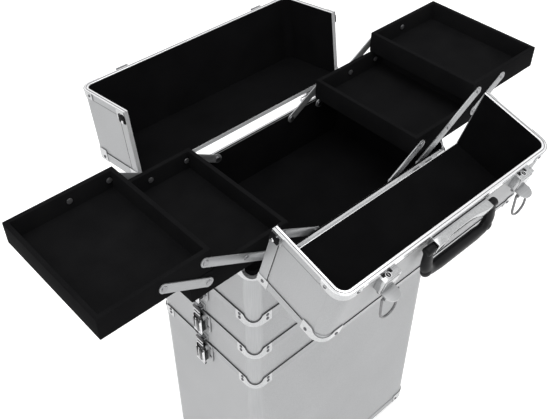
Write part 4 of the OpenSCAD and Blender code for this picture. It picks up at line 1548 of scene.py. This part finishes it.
@dataclass
class LidLocks(Fitting):
    """The two key locks on the front lid and their catches on the rear lid."""

    x: float = 0.119
    half: float = 0.013
    y_low: float = -0.03205
    y_high: float = -0.01005
    height: float = 0.010
    rounding: float = 0.0009
    crown_inset: float = 0.0028
    crown: float = 0.0009
    key: float = 0.0046
    key_shift: float = 0.0030
    sunk: float = 0.001
    # Reach and height of the black band of painted shadow at the foot of the split face.
    shadow_band_x: tuple[float, float] = (-0.0100, 0.0045)
    shadow_band_z: tuple[float, float] = (0.0006, 0.0042)
    plate_out: float = 0.0002
    plug_radius: float = 0.0030
    plug_out: float = 0.0004
    ring_radius: float = 0.0032
    ring_wire: float = 0.0006
    slot_half: float = 0.0004
    slot_reach: float = 0.0015
    slot_out: float = 0.0007
    keeper_half: float = 0.009
    keeper_y: tuple[float, float] = (-0.0068, -0.0022)
    keeper_sink: float = 0.0002
    keeper_height: float = 0.0092
    soft_edge: float = 0.0012
    lever_edge: float = 0.0006
    wire_edge: float = 0.0001
    rim_level: float = 0.55
    rim_front: float = -0.2

    def build(self) -> None:
        """Makes the bases with their keyholes, and dresses the levers, bails and catches."""
        self.bases()
        for side in Side:
            self.lever(f"{side.word}_lock_lever")
            node = f"{side.word}_lock_bail"
            Bench.smooth(self.dress(node, node, WIRE, self.wire_edge, Edge.CRISP), Bench.ROUND_SMOOTH)
        self.dress("lid_lock_catches", "rear_lid", CHROME, self.lever_edge)
        self.keepers()

    def pair(self, model: bpy.types.Object, lid: Lid, finish: Finish, *replaced: str) -> None:
        """Adds a piece at both locks of a lid.

        Args:
            model: The piece, on the shut lid's middle.
            lid: The lid that it is on.
            finish: Its finish.
            replaced: CAD nodes that it stands for.
        """
        shift = self.size.fitting_shift * (1.0 if lid is Lid.FRONT else -1.0)
        made = Bench.turned(Bench.paired(model, self.x, shift), self.size.lid_frame(lid))
        self.add(made, lid.value, finish, *replaced)

    def bases(self) -> None:
        """The bevelled lock blocks, with a keyhole in the face that looks to the split and a black
        band of painted shadow along that face's foot.
        """
        foot, face = self.size.lid_seat, self.y_high
        hole, key = -self.key_shift, foot + self.key
        block = Bench.block(
            "lid_lock_bases_dressed",
            (-self.half, self.y_low, foot),
            (self.half, face, foot + self.height),
        )
        with Bench.editing(block, Bench.facing(AXIS_Z)):
            bpy.ops.mesh.inset(thickness=self.crown_inset, depth=0.0)
            Bench.extrude((0.0, 0.0, self.crown))
        self.pair(Bench.bevel(block, self.rounding, Edge.ROUND), Lid.FRONT, POLISHED, "lid_lock_bases")
        # Black band low on the split face: painted shadow where the base meets the lid.
        plate = Bench.block(
            "plate",
            (self.shadow_band_x[0], face - self.sunk, foot + self.shadow_band_z[0]),
            (self.shadow_band_x[1], face + self.plate_out, foot + self.shadow_band_z[1]),
        )
        front = face + self.plug_out
        plug = Bench.rod("plug", (hole, face - self.sunk, key), (hole, front, key), self.plug_radius)
        self.pair(Bench.joined("lid_lock_keyways", [plate, plug]), Lid.FRONT, BLACK)
        ring = Bench.ring("ring", (hole, front, key), AXIS_Y, self.ring_radius, self.ring_wire)
        slot = Bench.block(
            "slot",
            (hole - self.slot_half, face, key - self.slot_reach),
            (hole + self.slot_half, face + self.slot_out, key + self.slot_reach),
        )
        rings = Bench.joined("lid_lock_rings", [ring, slot])
        self.pair(Bench.smooth(rings, Bench.ROUND_SMOOTH), Lid.FRONT, CHROME)

    def lever(self, node: str) -> None:
        """One satin lever with painted highlight on the front-facing faces of its rounded rim."""
        made = self.dress(node, node, SATIN_TRIM, self.lever_edge, Edge.ROUND)
        # Painted highlight: the lever's front-facing rim faces take the brighter polished finish.
        self.second(made, POLISHED, self.gets_lever_highlight)

    def gets_lever_highlight(self, centre: Vector, normal: Vector) -> bool:
        """True for the faces round a lever's edge that look to the front, which get the painted
        highlight.
        """
        return abs(normal.z) < self.rim_level and normal.y < self.rim_front

    def keepers(self) -> None:
        """Rounded keeper lips on the rear lid's rim, in front of the catches."""
        foot = self.size.lid_high + self.size.trim - self.keeper_sink
        lip = Bench.block(
            "lid_lock_keepers",
            (-self.keeper_half, self.keeper_y[0], foot),
            (self.keeper_half, self.keeper_y[1], foot + self.keeper_height),
        )
        self.pair(Bench.bevel(lip, self.soft_edge, Edge.ROUND), Lid.REAR, DARK_CHROME)


@dataclass
class TrayBank(Fitting):
    """The two cantilever trays of one side with their riveted arms."""

    side: Side = Side.LEFT
    wall: float = 0.006
    floor: float = 0.004
    rounding: float = 0.0012
    arm_edge: float = 0.0004
    arm_faces: tuple[float, float] = (0.0932, 0.0952)

    def build(self) -> None:
        """Makes the trays and dresses the arms."""
        trays = [f"{self.side.word}_{level}_tray" for level in ("lower", "upper")]
        self.share(self.tray(trays[0]), trays, "_flocked", FLOCK)
        for arm in ("long", "body", "tray"):
            node = f"{self.side.word}_{arm}_arms"
            made = self.dress(node, node, BRUSHED, self.arm_edge)
            self.second(made, GREY_STEEL, self.on_head)

    def on_head(self, centre: Vector, normal: Vector) -> bool:
        """True for faces of the rivet heads, which stand out from the arms."""
        inner, outer = self.arm_faces
        return not inner <= abs(centre.y) <= outer

    def tray(self, node: str) -> bpy.types.Object:
        """Draws an open tray out of a block: rim, hollow and soft edges.

        Args:
            node: The CAD node that gives its size.

        Returns:
            The tray, about the origin.
        """
        low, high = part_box(node)
        half = (high - low) / 2
        made = Bench.block("tray", -half, half)
        with Bench.editing(made, Bench.facing(AXIS_Z)):
            bpy.ops.mesh.inset(thickness=self.wall, depth=0.0)
            Bench.extrude((0.0, 0.0, self.floor - 2 * half.z))
        return Bench.bevel(made, self.rounding, Edge.ROUND)


@dataclass
class EndLatches(Fitting):
    """The columns of draw latches on both ends."""

    STRIPES: ClassVar[tuple[tuple[float, float], ...]] = ((-0.0042, 0.0028), (0.0054, 0.0084))

    count: int = 3
    y: float = 0.003
    edge: float = 0.0004
    rib_depth: float = 0.0016
    sunk: float = 0.0012
    stripe_out: float = 0.0001
    stripe_low: float = 0.006
    stripe_high: float = 0.012
    stripe_edge: float = 0.0003
    tip_up: float = 0.004
    tip_radius: float = 0.0028
    tip_height: float = 0.0016
    hook: float = 0.006
    pin_low: float = 0.010
    pin_step: float = 0.0065
    pin_half: float = 0.0062
    pin_in: float = 0.0002
    pin_radius: float = 0.0011
    pin_sides: int = 16
    plate_out: float = 0.00205
    rivet_y: float = 0.015
    rivet_drops: tuple[float, float] = (0.008, 0.026)
    rivet_radius: float = 0.0023

    def build(self) -> None:
        """Dresses the plates, levers and claws and adds the rivets."""
        self.dress("end_latch_plates", "case", SATIN_TRIM, self.edge)
        tip = Bench.pattern(Bench.dome("tip", self.tip_radius, self.tip_height))
        stripes, pins = Bench.pattern(self.stripes()), Bench.pattern(self.pins())
        for side in Side:
            for place in range(1, self.count + 1):
                self.lever(f"{side.word}_latch_lever_{place}", side, stripes, tip)
                self.claw(f"{side.word}_latch_claw_{place}", side, pins)
        self.rivets("latch_rivets", "case", self.rivet_places(), radius=self.rivet_radius)

    @property
    def half_band(self) -> float:
        """Half the thickness of a lever's dark stripes."""
        return (self.sunk + self.stripe_out) / 2

    def stripes(self) -> bpy.types.Object:
        """Models the dark stripes of a lever.

        Returns:
            The stripes, over the middle of their foot.
        """
        low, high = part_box("left_latch_lever_1")
        half, bottom, top = self.half_band, self.stripe_low, high.z - low.z - self.stripe_high
        bands = [
            Bench.block("band", (-half, start, bottom), (half, end, top))
            for start, end in self.STRIPES
        ]
        return Bench.bevel(Bench.joined("stripes", bands), self.stripe_edge)

    def pins(self) -> bpy.types.Object:
        """Models the cross pins of a claw.

        Returns:
            The pins, with the middle of the lower one at the origin.
        """
        ends = [(0.0, sign * self.pin_half, 0.0) for sign in SIGNS]
        pin = Bench.rod("pins", *ends, self.pin_radius, self.pin_sides)
        spots = [Matrix.Translation((0.0, 0.0, up)) for up in (0.0, self.pin_step)]
        return Bench.smooth(Bench.repeated(pin, spots))

    def lever(
        self, node: str, side: Side, stripes: bpy.types.Mesh, tip: bpy.types.Mesh
    ) -> None:
        """One lever: bright ribs down a dark plate, with dark stripes and a small dark tip.

        Args:
            node: The lever's CAD node and body.
            side: The end that it is on.
            stripes: Pattern of the stripes.
            tip: Pattern of the tip.
        """
        low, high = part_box(node)
        face = max(abs(low.x), abs(high.x))
        made = self.dress(node, node, CHROME, self.edge)
        self.second(made, INK, lambda centre, normal: abs(centre.x) < face - self.rib_depth)
        out = Vector((side.value, 0.0, 0.0))
        foot = Vector((side.value * (face - self.sunk), self.y, low.z))
        band = Matrix.Translation(foot + self.half_band * out)
        self.add(Bench.copied(stripes, node + "_stripes", band), node, INK)
        end = Bench.stand(foot + self.tip_up * Vector(AXIS_Z), out)
        self.add(Bench.copied(tip, node + "_tip", end), node, DARK_CHROME)

    def claw(self, node: str, side: Side, pins: bpy.types.Mesh) -> None:
        """One claw: dark hook with bright cross pins.

        Args:
            node: The claw's CAD node and body.
            side: The end that it is on.
            pins: Pattern of the pins.
        """
        low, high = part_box(node)
        made = self.dress(node, node, INK, self.edge)
        self.second(made, CHROME, lambda centre, normal: centre.z > high.z - self.hook)
        x = side.value * (max(abs(low.x), abs(high.x)) - self.pin_in)
        spot = Matrix.Translation((x, self.y, low.z + self.pin_low))
        self.add(Bench.copied(pins, node + "_pins", spot), node, CHROME)

    def rivet_places(self) -> list[Place]:
        """Finds the rivets in the base plates.

        Returns:
            Foot and direction of each.
        """
        places = []
        for x in SIGNS:
            for top in self.size.joints:
                for y in SIGNS:
                    for drop in self.rivet_drops:
                        out = x * (self.size.half_length + self.plate_out)
                        foot = Vector((out, self.y + y * self.rivet_y, top - drop))
                        places.append((foot, Vector((x, 0.0, 0.0))))
        return places


@dataclass
class RunningGear(Fitting):
    """Two rear wheels in their housings and two front feet."""

    sides: int = 64
    hub_share: float = 0.62
    boss_share: float = 0.62
    boss_rise: float = 0.9
    dish: float = 0.0022
    shoulder: float = 0.0011
    spokes: int = 5
    first_spoke: float = 18.0
    spoke_reach: tuple[float, float] = (0.3, 0.97)
    spoke_radius: float = 0.0016
    spoke_sides: int = 12
    hub_edge: float = 1.03
    housing_edge: float = 0.0012
    foot_edge: float = 0.0016

    def build(self) -> None:
        """Makes the wheels and dresses the housings and feet."""
        wheels = [f"{side.word}_wheel" for side in Side]
        self.share(self.wheel(wheels[0]), wheels, "_dressed", TYRE)
        self.dress("wheel_housings", "case", BLACK, self.housing_edge, Edge.ROUND)
        self.dress("front_feet", "case", RUBBER, self.foot_edge, Edge.ROUND)

    def wheel(self, node: str) -> bpy.types.Object:
        """Models a wheel: round tyre shoulders, dished hub, boss and spokes.

        Args:
            node: The CAD node that gives its size.

        Returns:
            The wheel, about the origin.
        """
        low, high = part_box(node)
        half, _, radius = (high - low) / 2
        hub = radius * self.hub_share
        tyre = Bench.rod("tyre", (-half, 0.0, 0.0), (half, 0.0, 0.0), radius, self.sides)
        for sign in SIGNS:
            with Bench.editing(tyre, Bench.facing((sign, 0.0, 0.0))):
                bpy.ops.mesh.inset(thickness=radius - hub, depth=0.0)
                Bench.extrude((-sign * self.dish, 0.0, 0.0))
                bpy.ops.mesh.inset(thickness=hub * self.boss_share, depth=0.0)
                Bench.extrude((sign * self.dish * self.boss_rise, 0.0, 0.0))
        Bench.bevel(tyre, self.shoulder, Edge.ROUND)
        ends = [(0.0, 0.0, hub * share) for share in self.spoke_reach]
        spoke = Bench.rod("spoke", *ends, self.spoke_radius, self.spoke_sides)
        spots = []
        for sign in SIGNS:
            foot = Vector((sign * (half - self.dish), 0.0, 0.0))
            for count in range(self.spokes):
                angle = math.radians(360.0 / self.spokes * count + self.first_spoke)
                spots.append(Bench.stand(foot, Vector((0.0, math.cos(angle), math.sin(angle)))))
        made = Bench.smooth(Bench.joined("wheel", [tyre, Bench.repeated(spoke, spots)]))
        made.data.materials.append(TYRE.material())
        edge = hub * self.hub_edge
        self.second(made, HUB, lambda centre, normal: math.hypot(centre.y, centre.z) < edge)
        return made


@dataclass
class PullHandle(Fitting):
    """The telescopic pull handle on the rear of the bin."""

    edge: float = 0.0008
    grip_edge: float = 0.0010
    grip_middle: float = 0.010
    ribs: int = 7
    first_rib: float = 0.020
    pitch: float = 0.0055
    rib_radius: float = 0.0099
    rib_wire: float = 0.0007

    def build(self) -> None:
        """Dresses the guides, tubes, grip and button and adds ribs to the grip."""
        self.dress("pull_handle_guides", "case", BLACK, self.edge, Edge.ROUND)
        self.coat(CHROME, "pull_handle_tubes")
        self.dress("pull_handle_grip", "pull_handle", BLACK, self.grip_edge, Edge.ROUND)
        self.dress("pull_handle_button", "pull_handle_button", BUTTON, self.edge, Edge.ROUND)
        low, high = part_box("pull_handle_grip")
        centre = (0.0, (low.y + high.y) / 2, high.z - self.grip_middle)
        rib = Bench.ring("pull_handle_ribs", centre, AXIS_X, self.rib_radius, self.rib_wire)
        spots = [
            Matrix.Translation((sign * (self.first_rib + self.pitch * count), 0.0, 0.0))
            for sign in SIGNS
            for count in range(self.ribs)
        ]
        made = Bench.smooth(Bench.repeated(rib, spots), Bench.ROUND_SMOOTH)
        self.add(made, "pull_handle", RUBBER)


@dataclass
class Lamp:
    """One soft square lamp."""

    name: str
    place: Vector
    side: float
    watts: float
    mirrored: bool = False

    def hang(self, target: Vector) -> None:
        """Puts the lamp in the studio.

        Args:
            target: What it shines on.
        """
        light = bpy.data.lights.new(self.name, "AREA")
        light.shape = "SQUARE"
        light.size = self.side
        light.energy = self.watts
        made = Bench.linked(self.name, light)
        made.visible_glossy = self.mirrored
        Bench.aim(made, self.place, target)


@dataclass
class Studio:
    """White surround, pale floor, soft lamps and the camera."""

    EYE: ClassVar[Vector] = Vector((-0.5673, -0.5644, 1.2694))
    AIM: ClassVar[Vector] = Vector((-0.0218, 0.0307, 0.5222))
    LIT: ClassVar[Vector] = Vector((0.0, 0.0, 0.45))
    LAMPS: ClassVar[tuple[Lamp, ...]] = (
        Lamp("top_lamp", Vector((-0.2, -0.3, 2.6)), 2.2, 23.0, True),
        Lamp("left_lamp", Vector((-2.4, -0.6, 1.5)), 1.8, 15.0),
        Lamp("front_lamp", Vector((0.9, -2.5, 1.4)), 1.8, 12.5),
        Lamp("rear_lamp", Vector((0.8, 2.3, 1.8)), 1.6, 9.5),
    )

    lens: float = 51.44
    sensor: float = 36.0
    far: float = 60.0
    surround: float = 0.50
    floor_low: Colour = (0.84, 0.84, 0.84)
    floor_high: Colour = (0.88, 0.88, 0.88)
    floor_patch: float = 3.0
    floor_glow: float = 0.56
    floor_top: float = -0.0002
    floor_bottom: float = -0.02
    reach: float = 9.0

    def build(self) -> None:
        """Sets up everything round the case."""
        bpy.context.scene.view_settings.view_transform = "Standard"
        self.world()
        self.floor()
        for lamp in self.LAMPS:
            lamp.hang(self.LIT)
        self.camera()

    @staticmethod
    def seen(board: Board) -> Wire:
        """Tells what is seen from what only lights.

        Args:
            board: The board to work on.

        Returns:
            1 for what the camera sees directly, in metal or through glass.
        """
        path = board.node("ShaderNodeLightPath")
        rays = ("Is Camera Ray", "Is Glossy Ray", "Is Transmission Ray")
        first, second, third = (Wire(board, path.outputs[ray]) for ray in rays)
        return (first + second + third).clamped()

    def world(self) -> None:
        """White where it is seen, softer as a light."""
        world = bpy.data.worlds.new("surround")
        world.use_nodes = True
        bpy.context.scene.world = world
        board = Board(world.node_tree)
        strength = self.seen(board) * (1.0 - self.surround) + self.surround
        glow = board.node(
            "ShaderNodeBackground", None, {"Color": (1.0, 1.0, 1.0), "Strength": strength}
        )
        board.node("ShaderNodeOutputWorld", None, {"Surface": glow.outputs[0]})

    def floor(self) -> None:
        """A wide pale floor that is white in the open and keeps a soft shadow under the case."""
        half = self.reach
        low, high = (-half, -half, self.floor_bottom), (half, half, self.floor_top)
        made = Bench.block("studio_floor", low, high)
        material = bpy.data.materials.new("pale_floor")
        material.use_nodes = True
        board = Board(material.node_tree)
        tone = board.noise(board.place(), self.floor_patch)
        colour = board.blend(tone, self.floor_low, self.floor_high)
        paint = board.node("ShaderNodeBsdfDiffuse", None, {"Color": colour})
        glow = board.node("ShaderNodeEmission", None, {"Strength": self.seen(board) * self.floor_glow})
        both = board.node("ShaderNodeAddShader", None, {0: paint.outputs[0], 1: glow.outputs[0]})
        board.node("ShaderNodeOutputMaterial", None, {"Surface": both.outputs[0]})
        made.data.materials.append(material)

    def camera(self) -> None:
        """The camera, level, at the photograph's viewing angle."""
        data = bpy.data.cameras.new("photo_camera")
        data.lens = self.lens
        data.sensor_width = self.sensor
        data.sensor_fit = "HORIZONTAL"
        data.clip_end = self.far
        made = Bench.linked("photo_camera", data)
        Bench.aim(made, self.EYE, self.AIM)
        bpy.context.scene.camera = made


def main() -> None:
    """Builds every sub-assembly and the studio."""
    logging.basicConfig(level=logging.INFO, format="%(name)s: %(message)s")
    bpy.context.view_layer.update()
    size = CaseSize()
    CaseShell(size).build()
    HalfLid(size, Lid.FRONT).build()
    HalfLid(size, Lid.REAR, highlight_lip=0.007).build()
    CarryHandle(size).build()
    LidLocks(size).build()
    TrayBank(size, Side.LEFT).build()
    TrayBank(size, Side.RIGHT).build()
    EndLatches(size).build()
    RunningGear(size).build()
    PullHandle(size).build()
    Studio().build()


if __name__ == "__main__":
    main()
